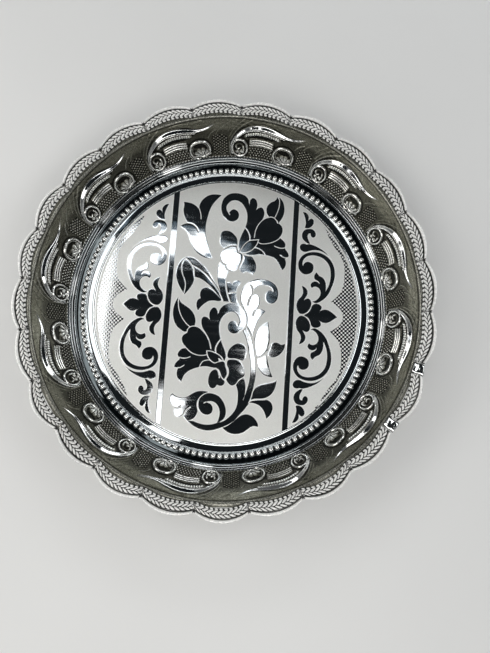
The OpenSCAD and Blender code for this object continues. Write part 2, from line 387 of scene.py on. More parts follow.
def mat_back(name, turned):
    """Underside and outside of the sheet: spun or brushed, duller than the show face."""
    m = Nodes(name)
    x, y, z = m.xyz()
    r = m.math("SQRT", m.math("ADD", m.math("MULTIPLY", x, x), m.math("MULTIPLY", y, y)))
    n = m.t.nodes.new("ShaderNodeCombineXYZ")
    m.put(n.inputs[0], m.math("MULTIPLY", r if turned else z, 1.0))
    w = m.t.nodes.new("ShaderNodeTexNoise")
    w.inputs["Scale"].default_value = 1500.0
    w.inputs["Detail"].default_value = 4.0
    m.t.links.new(n.outputs[0], w.inputs["Vector"])
    rings = w.outputs["Fac"]
    cloud = m.noise(26.0, 4.0, 0.6)
    fine = m.noise(2200.0, 3.0, 0.6)
    colour = m.mix(m.ramp(cloud, 0.3, 0.75), rgb(0.66, 0.66, 0.64), rgb(0.50, 0.497, 0.47))
    colour = m.mix(m.ramp(fine, 0.55, 0.85), colour, rgb(0.34, 0.336, 0.31))
    colour = m.mix(m.math("MULTIPLY", m.ramp(rings, 0.5, 0.75), 0.5), colour, rgb(0.36, 0.356, 0.33))
    tarnish = m.ramp(m.noise(14.0, 5.0, 0.62, offset=(0.4, 0.1, 0.7)), 0.52, 0.72)
    colour = m.mix(m.math("MULTIPLY", tarnish, 0.45), colour, rgb(0.38, 0.36, 0.30))
    scr = m.math("MAXIMUM", m.scratches(0.9), m.scratches(2.6, 480.0))
    rough = m.math("ADD", m.ramp(rings, 0.3, 0.7, 0.16, 0.3), m.math("MULTIPLY", scr, 0.2))
    b = m.bump(rings, 0.22, 0.00006)
    b = m.bump(fine, 0.2, 0.00004, b)
    b = m.bump(scr, 0.2, -0.00003, b)
    return m.finish(colour, rough, b)


M_FLOOR = mat_floor()
# the ring's last flag darkens its shoulder outside the beads: part tarnish, part painted dark reflection
M_RING = mat_polished("pan_silver_ring", (0.86, 0.90, 0.915), (0.70, 0.75, 0.77), 0.0, 0.025, 0.06, grain=0.05, wear=0.15, tarnish_and_painted_reflection=True)
M_UNDER = mat_back("pan_silver_under", True)
# beads, rim and plates: their dark second colour is tarnish and painted shade in the hollows
M_BEAD = mat_polished("polished_silver", (0.94, 0.94, 0.925), (0.04, 0.04, 0.037), 0.85, 0.05, 0.12, "tarnish_and_painted_shade", wear=0.6)
M_WALL = mat_wall()
M_WALL_BACK = mat_back("embossed_silver_back", False)
M_RIM = mat_polished("rim_silver", (1.0, 0.995, 0.97), (0.012, 0.012, 0.011), 0.5, 0.22, 0.32, "tarnish_and_painted_shade", metal=0.22, grain=0.2, wear=0.3)
M_PLATE = mat_polished("rim_silver_plate", (0.93, 0.935, 0.93), (0.03, 0.03, 0.028), 0.8, 0.06, 0.14, "tarnish_and_painted_shade", grain=0.5)
M_RIM_BACK = mat_back("rim_silver_back", False)

# ------------------------------------------------------------------ floor pattern

# Outlines in mm, floor frame. A third number marks a sharp corner.
C = 1
SHAPES = {
"A": [(-36.2,75.9,C),(-33.1,75.6),(-29.6,74.8),(-26.3,72.6),(-24.7,70.9,C),(-24.8,73.4),(-23.7,76.9),(-21.2,80.0),(-17.8,82.1),(-13.6,82.8),(-9.4,82.4,C),(-12.2,79.3),(-15.0,75.5),(-17.1,70.6),(-18.3,65.1),(-19.0,60.2),(-19.0,55.4),(-18.2,51.0),(-16.6,46.2),(-14.8,41.0),(-12.4,35.7,C),(-16.0,35.4),(-20.4,36.8),(-24.8,39.9),(-27.9,44.3),(-30.0,48.6),(-31.6,52.6),(-33.5,54.8),(-35.3,56.0),(-37.4,57.6,C),(-34.8,59.4),(-32.2,60.2,C),(-33.8,63.0),(-35.5,67.2),(-36.0,70.6),(-35.7,73.4)],
"B": [(1.7,84.6),(-3.9,83.6),(-7.4,80.4),(-8.9,76.2),(-8.8,71.3),(-6.7,66.5),(-3.2,63.8),(0.3,63.4),(3.0,65.1),(4.0,68.6),(2.7,71.3),(-0.1,72.5),(-2.2,71.3),(-3.4,69.2,C),(-4.8,71.3),(-5.3,74.1),(-4.2,76.5),(-1.8,78.6),(1.7,79.1),(5.1,77.6),(7.9,74.1),(9.7,69.9),(10.0,65.1),(9.5,61.6),(8.8,59.0),(7.8,56.7),(6.1,51.9),(5.1,47.7),(4.8,44.5),(5.8,41.2,C),(9.0,40.4),(18.0,41.0),(24.0,46.0),(22.0,52.0),(20.0,60.0),(20.8,66.0,C),(21.6,67.8),(22.0,70.3),(21.5,73.1),(20.1,74.9),(18.0,74.7),(16.3,73.2),(15.2,70.8,C),(15.9,72.9),(16.6,75.2),(16.5,78.0),(15.2,80.7),(13.2,81.7),(11.7,80.7),(11.0,78.4),(11.5,75.6,C),(10.5,77.9),(10.0,80.1),(8.6,82.2),(5.8,83.8)],
"F1": [(27.0,68.3),(23.9,67.6),(21.1,65.8),(19.0,63.3),(17.3,60.2),(16.3,56.8),(15.9,52.6),(17.0,49.5),(19.4,48.8),(22.5,48.4),(26.7,49.1),(30.5,50.8),(32.9,52.9),(34.9,55.4),(35.7,58.5),(35.3,61.3),(33.6,63.3),(31.6,64.6,C),(29.6,67.4)],
"F2": [(30.6,83.6,C),(29.4,81.0),(26.0,79.0),(23.9,76.5),(23.3,73.4),(24.0,70.5),(25.6,68.2,C),(28.0,67.5),(31.2,66.2),(32.4,64.2,C),(33.8,66.1),(35.4,69.2),(36.2,73.1),(36.0,76.5),(34.7,80.3),(32.2,83.3,C),(31.5,81.8,C)],
"F3": [(28.0,50.5),(33.9,53.4),(36.0,52.0),(38.2,49.2),(38.0,46.6,C),(38.4,45.5),(40.2,43.1),(41.0,40.8),(40.2,39.4,C),(38.4,38.6,C),(39.2,36.4),(39.3,34.4),(38.5,31.9),(36.9,30.0,C),(36.0,31.4),(34.8,33.8),(32.9,36.6),(30.4,38.8),(27.9,39.7),(24.7,40.2),(20.0,40.3),(15.0,39.5),(10.3,40.2),(14.0,46.0),(20.0,49.0)],
"H1": [(-7.6,54.6),(-6.5,55.9),(-4.1,56.4),(-1.0,55.8),(1.5,53.9),(3.4,51.7),(4.3,49.2),(4.2,46.0),(5.0,42.0,C),(0.0,43.0),(-4.5,43.0),(-6.9,44.8),(-8.3,47.5),(-8.4,50.5),(-8.1,52.6)],
"H2": [(4.0,45.6),(1.5,45.7),(-0.5,45.4),(-2.6,44.4),(-5.0,42.6),(-6.6,40.5),(-7.1,38.2),(-6.9,35.9),(-5.9,33.6),(-4.4,32.2),(-2.9,31.7,C),(-2.5,30.0),(-1.6,28.6),(0.2,27.4),(2.2,27.0),(4.1,27.8),(5.7,29.4),(6.9,31.8),(7.8,34.4),(8.3,36.9),(8.3,39.3),(7.0,41.0,C),(5.2,43.0)],
"H3": [(8.9,39.4,C),(12.4,38.7),(15.0,38.5),(16.8,36.2),(18.1,33.8),(18.6,31.0),(18.2,28.3),(16.4,25.6,C),(13.6,26.8),(11.6,27.5),(9.8,26.6),(7.9,27.3),(6.9,29.0),(7.4,31.4),(8.6,34.4),(9.1,37.0)],
"H4": [(-6.9,33.6,C),(-8.0,31.5),(-8.6,28.6),(-8.6,24.7),(-8.1,20.8),(-7.3,17.6),(-6.0,13.7),(-4.5,9.4),(-2.5,5.3,C),(2.0,5.3,C),(0.2,9.8),(-1.1,14.1),(-1.8,18.4),(-2.0,21.5),(-1.5,24.7),(-0.5,27.0),(-2.0,28.2),(-2.9,30.2),(-3.2,31.4,C),(-4.8,31.8)],
"H5": [(-1.2,19.0),(0.1,19.4),(1.7,18.9),(2.6,18.0,C),(3.6,20.0),(5.6,20.8),(7.5,20.6),(8.5,19.5),(8.0,17.8),(6.8,16.4),(6.1,14.0),(6.0,11.0),(6.5,8.0),(7.6,5.4),(9.2,3.2,C),(5.0,4.6),(2.2,5.2,C),(0.4,9.8),(-0.9,14.1),(-1.6,18.0)],
"J1": [(-31.3,35.6),(-28.5,36.0),(-24.7,34.9),(-20.4,31.8),(-16.0,28.0),(-12.3,23.0),(-9.1,18.0),(-6.5,13.6),(-4.0,8.6),(-2.2,5.2,C),(-2.9,5.2,C),(-6.0,8.8),(-9.8,12.9),(-13.5,16.3),(-17.3,19.1),(-21.0,20.9),(-24.2,21.5,C),(-24.7,18.2),(-25.9,14.9),(-27.9,11.7),(-30.4,8.4,C),(-32.2,11.0),(-34.2,14.0),(-36.2,18.0),(-37.5,23.0),(-37.0,28.0),(-35.3,31.9),(-33.5,34.3)],
"J2": [(-18.5,13.0),(-16.6,14.3),(-14.1,14.6),(-11.6,13.6),(-9.0,11.4),(-6.4,8.7),(-4.0,5.9),(-6.0,5.3),(-9.8,5.5),(-12.9,4.9),(-15.4,3.3),(-17.9,0.8),(-20.0,-2.3,C),(-21.1,-0.1),(-21.5,3.0),(-20.7,5.5),(-18.8,6.7,C),(-19.5,8.6),(-19.3,11.2)],
"J3": [(-34.5,6.9,C),(-32.3,3.0),(-29.1,0.8),(-26.0,-1.1),(-24.0,-3.0),(-22.2,-5.8),(-21.2,-8.9),(-21.3,-12.0),(-22.2,-14.4),(-25.0,-15.2),(-26.3,-17.2,C),(-28.4,-17.6),(-31.2,-16.2),(-34.2,-13.8),(-36.3,-10.0),(-37.4,-5.0),(-37.1,0.0),(-35.8,4.0)],
"J4": [(-26.2,-17.4,C),(-26.0,-15.4),(-24.4,-13.9),(-21.6,-13.2),(-19.1,-13.8),(-16.0,-15.8),(-13.2,-18.6),(-11.0,-22.0),(-9.6,-25.2),(-8.6,-29.0),(-12.2,-32.6),(-16.6,-33.1),(-21.0,-32.0),(-24.8,-29.8),(-27.6,-27.3),(-29.3,-24.5),(-29.8,-22.0),(-28.8,-19.8),(-27.0,-18.6)],
"J5": [(-15.4,-6.1),(-16.8,-7.4),(-17.1,-10.1),(-16.3,-13.4),(-13.5,-17.5),(-11.0,-21.5),(-9.5,-26.0),(-8.0,-31.5),(-3.0,-34.5),(0.6,-36.0),(1.9,-34.0),(1.2,-30.1),(-0.7,-25.8),(-2.3,-22.0),(-3.2,-18.9),(-4.0,-14.5),(-4.0,-10.1),(-2.9,-6.4),(-1.0,-3.9),(1.8,-2.0),(4.6,-1.7),(7.1,-3.3),(8.7,-5.8),(9.2,-8.4),(8.4,-10.6,C),(7.1,-8.6),(5.6,-7.8),(3.4,-8.3),(1.8,-10.4),(1.5,-12.9),(2.8,-15.4),(5.3,-16.7),(7.8,-16.4),(10.3,-15.1),(12.8,-12.6),(14.0,-9.5),(14.2,-6.4),(13.4,-2.6),(11.5,0.6),(8.4,3.4),(4.6,4.4),(0.9,4.2),(-1.9,3.0),(-3.4,1.6),(-4.8,-0.4),(-5.4,-2.3),(-6.0,-4.7,C),(-6.2,-1.7),(-7.5,0.2),(-9.1,0.8),(-11.2,-1.2),(-12.0,-4.5),(-11.5,-7.4),(-10.4,-9.9,C),(-11.9,-7.6),(-13.8,-6.3)],
"K": [(-24.0,-29.6),(-26.6,-29.0),(-29.1,-29.5),(-31.0,-31.4),(-31.8,-33.6),(-31.2,-35.0,C),(-30.2,-36.2),(-32.2,-38.9),(-33.4,-41.4),(-33.2,-42.8,C),(-30.8,-42.9,C),(-31.3,-45.0),(-31.3,-47.5),(-30.2,-50.3),(-27.8,-52.5,C),(-27.2,-50.1),(-26.2,-47.6),(-24.0,-45.1),(-21.0,-43.2),(-17.2,-41.7),(-14.0,-40.8),(-11.0,-40.6),(-7.9,-41.0),(-4.8,-41.1),(-3.0,-39.0),(-3.0,-36.0),(-8.0,-30.0),(-12.0,-31.5),(-18.0,-32.0)],
"K2": [(-4.8,-42.3),(-7.2,-43.3),(-8.8,-45.8),(-9.4,-48.9),(-9.1,-52.6),(-7.6,-54.8),(-5.4,-55.2),(-3.8,-53.8),(-3.2,-52.6,C),(-1.6,-53.2),(0.3,-53.1),(1.8,-51.4),(1.9,-49.8),(0.8,-48.9),(-1.0,-47.0),(-1.9,-44.8),(-3.2,-42.9)],
"K3": [(-5.5,-37.9,C),(-2.5,-36.8),(0.2,-36.4,C),(1.5,-37.6),(1.9,-39.6),(2.9,-42.0),(3.2,-44.4),(2.5,-46.6),(1.3,-48.6,C),(-0.3,-46.9),(-1.3,-44.6),(-2.6,-42.3),(-4.6,-41.0)],
"K4": [(2.9,-29.4),(4.0,-27.2),(5.4,-25.6),(7.3,-24.2),(9.7,-23.3),(12.1,-23.4),(14.2,-24.6),(15.5,-26.8),(16.0,-29.4),(15.9,-31.8),(15.0,-33.9),(13.2,-35.2,C),(9.7,-34.2),(7.2,-33.9),(3.8,-34.2),(2.6,-32.8,C)],
"K5": [(3.4,-35.2,C),(6.5,-34.6),(9.7,-35.0),(12.1,-36.0),(13.5,-38.0),(14.7,-40.5),(15.3,-42.6),(15.2,-44.8),(14.4,-46.3),(12.8,-47.2),(11.3,-48.4),(10.0,-50.8),(8.3,-52.3),(6.6,-52.5),(4.8,-51.4),(3.5,-49.9),(2.9,-48.6),(3.9,-46.6),(4.4,-44.0),(4.0,-41.2),(2.7,-38.6),(2.6,-36.8)],
"L1": [(12.0,-14.8,C),(14.4,-19.2),(16.0,-24.5),(17.2,-29.7),(18.4,-35.0),(19.1,-40.7),(18.9,-47.0),(18.2,-51.5),(17.0,-56.5),(15.3,-62.4,C),(14.0,-68.0),(18.6,-65.4),(20.4,-60.2),(21.5,-55.1),(22.3,-50.1),(22.9,-45.0),(22.7,-39.6),(22.1,-34.3),(21.0,-28.4),(19.8,-23.0),(17.6,-17.2),(15.0,-12.6),(13.8,-12.4)],
"L2": [(9.8,-52.0,C),(11.0,-50.0),(12.3,-48.6),(14.9,-46.8,C),(16.2,-50.8),(16.5,-54.5),(16.2,-58.9),(15.3,-62.6),(19.4,-63.4,C),(17.1,-67.6),(14.0,-71.4),(10.3,-75.8),(6.5,-78.9),(1.5,-81.4),(-3.0,-83.2),(-8.0,-83.9),(-13.5,-82.9),(-18.5,-80.6),(-22.2,-78.2,C),(-17.3,-78.2),(-14.1,-79.2),(-9.8,-79.9),(-5.4,-79.6),(-1.3,-78.2,C),(2.8,-76.9),(5.9,-74.5),(8.7,-71.4),(10.6,-68.2),(11.5,-64.5),(11.6,-60.1),(11.2,-55.8)],
"L2b": [(-1.4,-78.2,C),(1.5,-76.9),(3.6,-74.4),(4.2,-70.8),(3.4,-66.8),(1.5,-63.2),(-1.0,-60.5),(-4.8,-58.9),(-8.5,-58.7),(-11.0,-59.2),(-12.9,-60.6),(-14.6,-63.2),(-15.3,-66.4),(-14.8,-69.2),(-12.9,-71.7),(-10.4,-73.1),(-7.9,-73.3),(-5.7,-72.0),(-4.9,-69.8),(-5.2,-67.6),(-6.6,-65.8),(-8.5,-65.1),(-9.8,-64.8,C),(-7.9,-64.2),(-5.4,-64.2),(-2.9,-65.4),(-1.0,-67.9),(-0.1,-71.4),(-0.4,-75.0)],
"N": [(-8.5,-57.8,C),(-12.3,-57.5),(-16.0,-57.9),(-19.8,-59.8),(-22.9,-62.0),(-25.5,-62.8),(-29.8,-62.3),(-33.2,-60.4,C),(-34.8,-62.6),(-34.9,-64.7),(-33.8,-67.1),(-31.9,-68.8),(-30.2,-69.4,C),(-31.4,-70.8),(-31.7,-72.8),(-30.6,-74.9),(-28.5,-76.1),(-26.2,-75.4),(-24.7,-74.0,C),(-24.0,-76.1),(-22.2,-77.8),(-19.8,-77.6),(-17.2,-76.1),(-15.7,-73.6),(-15.0,-70.9),(-15.6,-68.2),(-15.6,-65.2),(-14.3,-62.2),(-12.3,-60.0),(-9.5,-58.4)],
"L3": [(2.4,-81.2,C),(4.4,-80.6),(7.8,-78.3),(11.5,-74.9),(14.0,-72.8),(16.5,-71.5),(19.2,-71.3),(22.1,-72.3),(24.9,-74.8),(26.5,-77.6),(26.8,-79.3,C),(24.0,-79.0),(21.5,-79.8),(19.6,-81.4),(17.0,-83.5),(13.0,-84.9),(9.0,-84.9),(5.4,-83.5)],
"L4": [(37.5,-47.0,C),(33.6,-48.8),(30.2,-49.5),(26.5,-50.8),(23.6,-52.9),(22.0,-55.4),(21.1,-58.6),(20.6,-61.4,C),(23.0,-60.6),(26.0,-60.3),(29.0,-59.9),(32.1,-58.6),(34.6,-56.4),(36.4,-53.0),(37.2,-49.8)],
"L4b": [(19.4,-63.4,C),(21.5,-62.0),(25.6,-61.1),(29.0,-60.7),(32.1,-60.8),(34.6,-62.6),(35.8,-65.8),(35.2,-69.0),(33.7,-71.7),(31.8,-73.4,C),(31.0,-70.8),(29.3,-67.6),(26.5,-64.9),(23.4,-63.7)],
"M1": [(8.9,8.4),(9.3,12.4),(10.9,17.0),(14.2,20.3),(18.2,22.2),(22.1,23.0),(26.1,22.6),(30.0,21.2),(33.3,18.6),(34.9,15.0),(35.1,11.7),(34.3,8.4),(32.3,6.3),(29.7,5.9),(27.1,7.2),(25.9,10.0),(26.3,13.0),(27.9,14.8),(29.8,15.2),(31.5,14.2,C),(30.7,16.4),(28.2,18.2),(24.7,18.6),(21.4,18.0),(19.1,16.3),(17.8,14.3),(17.3,11.4,C),(19.1,11.9),(20.9,11.6),(22.2,9.7),(22.8,7.1),(22.3,4.1),(21.2,1.8),(20.3,0.7,C),(22.0,1.4),(24.7,1.3),(27.0,0.2,C),(25.4,-1.8),(23.4,-4.7),(21.8,-8.0),(20.5,-12.0),(19.6,-15.3),(19.3,-18.4,C),(17.5,-16.0),(14.6,-11.0),(14.6,-6.1),(13.6,-2.1),(11.6,1.2),(9.7,4.5)],
"M3": [(29.5,-6.8,C),(26.7,-8.4),(24.1,-10.7),(21.9,-13.9),(20.7,-17.9),(20.5,-21.8),(21.1,-25.8),(22.0,-29.7),(23.1,-31.7),(24.7,-31.6),(28.0,-29.2),(30.3,-24.5),(31.1,-19.2),(30.7,-14.6),(29.9,-10.0)],
"M4": [(23.0,-33.0,C),(25.2,-32.6),(27.8,-30.9),(29.5,-30.4),(30.2,-32.8),(31.3,-36.6),(32.5,-40.8),(34.6,-45.2,C),(31.5,-44.9),(28.5,-43.9),(25.8,-41.6),(23.9,-38.4),(23.1,-35.4)],
"M5": [(41.8,-21.5,C),(39.2,-22.5),(37.2,-21.5),(34.6,-21.2),(32.2,-22.4),(30.9,-24.8),(29.5,-27.8),(30.3,-30.7),(33.3,-31.6),(36.6,-30.7),(39.9,-27.8),(41.6,-24.5)],
}
VEINS = [
 [(-24.7,71.4),(-23.6,68.5),(-23.0,65.5),(-22.9,63.9)],
 [(-32.3,60.3),(-28.5,59.6),(-25.8,57.6),(-24.1,54.6)],
 [(27.0,68.4),(23.9,67.6),(21.1,65.8),(19.0,63.3),(17.3,60.2),(16.3,56.8),(15.9,52.6)],
 [(31.2,84.0),(32.3,80.5),(32.2,76.0),(31.2,72.0),(29.7,68.4)],
 [(24.5,67.8),(27.0,68.4),(29.4,67.6),(31.0,65.8),(31.9,64.0)],
 [(34.2,53.6),(31.5,51.2),(28.0,49.5),(24.6,48.6),(21.1,48.4),(19.2,49.0)],
 [(30.5,47.3),(33.6,46.2),(36.0,46.0),(38.4,46.6)],
 [(34.7,41.0),(36.4,39.9),(38.5,39.3),(40.6,39.5)],
 [(6.2,41.4),(7.1,43.4),(8.3,45.8),(10.3,48.3),(12.2,49.9),(14.6,50.6),(16.9,50.9),(19.1,51.2)],
 [(19.1,51.2),(18.7,49.7),(17.9,47.3),(16.5,45.4),(14.6,43.2),(12.2,41.7),(9.9,40.9),(8.1,40.7)],
 [(9.0,59.2),(10.6,57.4),(12.0,54.8),(12.7,52.0),(12.5,49.9)],
 [(16.6,45.1),(18.9,44.8),(20.8,44.0),(22.4,42.8),(23.5,41.5),(24.3,40.0)],
 [(8.0,40.4),(10.3,39.4),(12.6,38.9),(15.2,39.3)],
 [(-5.0,43.0),(-3.8,43.9),(-2.2,44.9),(-0.3,45.6),(1.7,45.9),(3.9,45.7),(4.6,43.5),(5.4,41.4)],
 [(4.2,51.0),(4.5,48.4),(4.5,45.7)],
 [(5.2,41.2),(8.6,40.4)],
 [(8.4,40.4),(8.7,38.6),(8.3,35.6),(7.2,32.0),(6.2,29.6)],
 [(-7.0,34.4),(-5.9,33.2),(-4.4,32.1),(-2.7,31.5)],
 [(-1.9,22.0),(-1.7,18.4),(-1.0,14.1),(0.2,9.8),(2.1,5.3)],
 [(0.3,11.3),(2.5,12.0),(5.9,11.9)],
 [(-31.3,34.8),(-32.9,33.0),(-34.0,29.9),(-33.8,26.1),(-32.6,22.4),(-31.0,19.2),(-30.3,15.5),(-30.5,11.8),(-31.0,8.6)],
 [(-31.3,34.8),(-29.1,33.0),(-26.9,30.2),(-25.4,27.4),(-24.7,24.2),(-24.2,21.2)],
 [(-26.6,29.9),(-23.5,28.6),(-19.8,26.4),(-16.0,23.6),(-12.3,19.9),(-9.1,16.0),(-6.0,11.4),(-3.0,5.6)],
 [(-34.3,6.0),(-34.1,2.0),(-33.8,-0.1),(-32.6,-4.2),(-30.4,-8.3),(-27.9,-11.4),(-25.0,-13.8)],
 [(-26.6,-18.0),(-26.0,-15.4),(-24.4,-13.9),(-21.6,-13.2),(-19.1,-13.8),(-16.0,-15.8),(-13.2,-18.6),(-11.0,-22.0),(-9.8,-25.1),(-9.0,-28.2)],
 [(-27.6,-27.3),(-26.0,-28.9),(-23.5,-31.1),(-19.8,-32.8),(-15.4,-33.3),(-11.9,-32.7)],
 [(-2.6,-21.4),(-4.6,-24.5),(-5.7,-27.6),(-5.4,-30.8)],
 [(-11.9,-29.9),(-9.1,-29.9),(-6.0,-30.8),(-2.9,-32.3),(-0.4,-34.8),(0.2,-36.4)],
 [(-11.9,-29.9),(-11.3,-32.3),(-10.1,-34.8),(-7.9,-37.0),(-5.4,-38.0)],
 [(-9.1,-36.1),(-11.9,-36.4),(-14.1,-37.4),(-15.4,-39.4),(-16.0,-41.3)],
 [(-31.6,-35.4),(-28.5,-36.0),(-25.5,-35.7),(-23.0,-34.7)],
 [(-31.2,-43.0),(-29.1,-42.4),(-26.8,-40.8)],
 [(-5.6,-38.0),(-2.5,-36.7),(0.2,-36.2),(1.8,-37.4)],
 [(1.9,-34.2),(2.4,-36.0),(2.2,-38.6)],
 [(2.9,-34.2),(5.9,-34.3),(7.6,-34.3),(9.7,-34.7),(12.4,-35.8)],
 [(-1.7,-47.7),(-2.2,-44.8),(-3.4,-42.6),(-4.8,-41.6)],
 [(14.8,-12.0),(17.5,-16.6),(19.0,-19.8),(19.8,-22.8)],
 [(14.5,3.8),(15.0,7.1),(15.9,9.4),(17.3,11.2)],
 [(15.5,18.3),(16.5,17.0),(17.4,14.3),(17.2,11.4)],
 [(20.3,0.8),(19.1,-0.8),(18.5,-3.4)],
 [(13.6,-12.6),(12.0,-14.0),(10.0,-15.2)],
 [(-24.2,-73.8),(-23.2,-71.4),(-20.7,-69.2)],
 [(-8.6,-58.2),(-12.3,-60.1),(-14.4,-62.3),(-15.7,-65.1),(-15.6,-68.3),(-14.8,-70.8)],
 [(-30.8,-69.6),(-28.4,-69.8),(-26.6,-68.8)],
 [(-9.8,-64.8),(-11.2,-65.6)],
 [(21.4,-56.0),(20.6,-60.1),(19.2,-63.6)],
 [(20.4,-61.8),(23.0,-60.9),(26.0,-60.7),(29.5,-60.4)],
 [(22.9,-32.3),(25.0,-31.9),(28.2,-29.6)],
 [(29.3,-30.2),(30.8,-26.0),(31.6,-23.0)],
 [(-3.3,69.3),(-2.6,68.2)],
]
# side ornament, upper right quarter, x from the bar's outer edge and y from the axis of symmetry
SIDE = {
"bigC": [(58.8,9.5,C),(61.0,8.2),(66.0,10.3),(69.8,14.4),(72.3,20.0),(74.0,26.0),(74.1,31.3),(72.7,36.3),(69.8,40.4),(66.0,43.1),(61.0,44.6),(56.0,44.3),(51.6,42.4),(49.1,39.4),(48.0,35.6),(48.4,32.5),(50.1,29.7),(52.9,28.2),(55.5,28.5),(57.9,30.0),(58.9,32.5),(58.5,35.3),(56.7,36.9),(54.5,37.3),(52.7,36.6),(51.4,33.9,C),(51.0,36.3),(51.9,39.1),(54.1,41.2),(57.3,42.1),(61.0,41.9),(64.8,40.6),(67.9,38.1),(70.1,34.7),(71.0,30.6),(71.1,26.3),(70.3,21.9),(68.0,16.6,C),(68.3,20.6),(67.6,23.8),(66.0,26.3),(62.9,28.1),(61.2,30.2,C),(60.1,28.8),(59.6,27.2),(60.1,25.2),(61.8,24.3),(63.4,22.9),(63.9,20.9,C),(62.8,22.8),(60.7,23.6),(58.5,22.8),(57.4,21.2),(57.7,19.7),(58.4,18.7,C),(59.4,19.5),(61.0,19.8),(62.9,19.1),(64.3,17.2),(64.6,15.0),(63.8,12.6),(61.9,10.4),(60.2,9.5)],
"bud": [(51.1,20.0,C),(53.5,19.0),(55.3,16.9),(55.6,14.4),(54.5,11.9),(52.9,9.4,C),(54.2,10.5),(56.3,11.1),(57.9,10.0),(58.6,7.5),(57.9,4.4),(56.0,1.6),(53.5,0.1),(51.0,0.1),(49.1,2.2),(48.2,5.0),(48.4,7.5),(49.4,10.0),(51.3,12.2),(52.3,14.6),(52.0,17.5)],
"comma": [(71.3,40.0,C),(68.6,43.1),(65.4,45.9),(61.6,48.1),(57.3,49.8),(54.6,50.2),(53.2,49.8,C),(51.6,50.3),(49.4,49.7),(48.5,48.1),(49.1,45.9),(50.7,44.7),(52.9,44.4),(55.4,45.3),(58.5,46.0),(62.3,45.9),(65.4,44.8),(68.5,42.8)],
"smallC": [(55.6,50.4,C),(53.9,50.6,C),(52.9,51.3),(50.7,53.1),(49.6,55.6),(50.1,58.8),(51.6,60.6),(54.1,61.3),(56.6,61.2),(58.5,59.8),(59.4,57.5),(58.8,55.7),(57.3,55.1),(56.0,56.2),(55.6,58.2,C),(54.4,57.8),(53.7,56.2),(54.1,53.8),(55.0,52.0)],
"curl": [(49.3,73.7,C),(51.4,73.2),(52.9,71.9),(53.8,70.0),(53.6,67.5),(53.3,65.7,C),(54.2,68.1),(55.7,69.0),(57.2,68.1),(57.6,65.9),(56.6,63.8),(54.8,62.2),(52.6,61.7),(51.2,62.0,C),(51.9,65.0),(51.6,67.5),(50.7,70.6)],
}
SIDE_Y = -0.7
PALM = [(58.9,5.8,C),(60.1,7.2),(62.3,7.8),(64.4,7.2),(65.9,5.6),(65.5,3.8),(63.4,2.1,C),(65.1,2.9),(67.3,3.9),(69.8,3.9),(72.3,2.8),(74.5,1.2),(77.0,-0.9,C)]
PALM_IN = [(54.0,-0.9),(56.4,0.9),(58.2,3.4)]
HATCH = [(65.5,63.5),(68.0,57.5),(72.0,50.5),(76.0,45.0),(79.0,40.0),(80.5,35.0),(80.8,28.0),(80.3,22.0),(79.0,17.5),(76.0,13.3),(72.2,9.7,C),(76.0,7.4),(79.5,4.0),(80.9,0.2)]
BAR_R = (42.8, 46.6)
BAR_L = (-43.5, -39.4)
PALM_LEFT = [(58.9,5.8,C),(60.1,7.2),(62.3,7.8),(64.4,7.2),(65.9,5.6),(65.5,3.8),(63.4,2.1,C),(65.1,2.9),(67.0,3.8),(69.0,3.7),(71.0,2.6),(72.9,1.0),(74.6,-0.9,C)]
# the outlines were laid out 1.4 mm lower than the floor face, seen from 338 mm up
SHRINK = 0.9959
SHIFT = np.array([18.5, -52.4]) * (1 - SHRINK)

# ------------------------------------------------------------------ pan

FLOOR_Z, GROUND_DROP = 1.7, 0.045
N = 520
R_GRID = 91.9


def disc_grid(n, radius):
    """Square grid mapped onto a disc, with evenly spaced points round its edge."""
    t = np.linspace(-1, 1, n + 1)
    a, b = np.meshgrid(t, t, indexing="ij")
    a, b = a.ravel(), b.ravel()
    big = np.abs(a) > np.abs(b)
    sa, sb = np.where(a == 0, 1e-12, a), np.where(b == 0, 1e-12, b)
    r = np.where(big, a, b)
    f = np.where(big, math.pi / 4 * b / sa, math.pi / 2 - math.pi / 4 * a / sb)
    x, y = radius * r * np.cos(f), radius * r * np.sin(f)
    i = np.arange(n)
    q = (i[:, None] * (n + 1) + i[None, :]).ravel()
    quads = np.stack([q, q + n + 1, q + n + 2, q + 1], 1)
    edge = np.nonzero((np.abs(a) == 1) | (np.abs(b) == 1))[0]
    ang = np.arctan2(y[edge], x[edge]) % TAU
    ang[ang > TAU - 1e-6] = 0
    return x, y, quads, edge[np.argsort(ang)]


def mirror_y(p):
    return (p[0], 2 * SIDE_Y - p[1]) + tuple(p[2:])


def to_left(p):
    return (-43.5 - (p[0] - 46.6) * 1.06, p[1]) + tuple(p[2:])


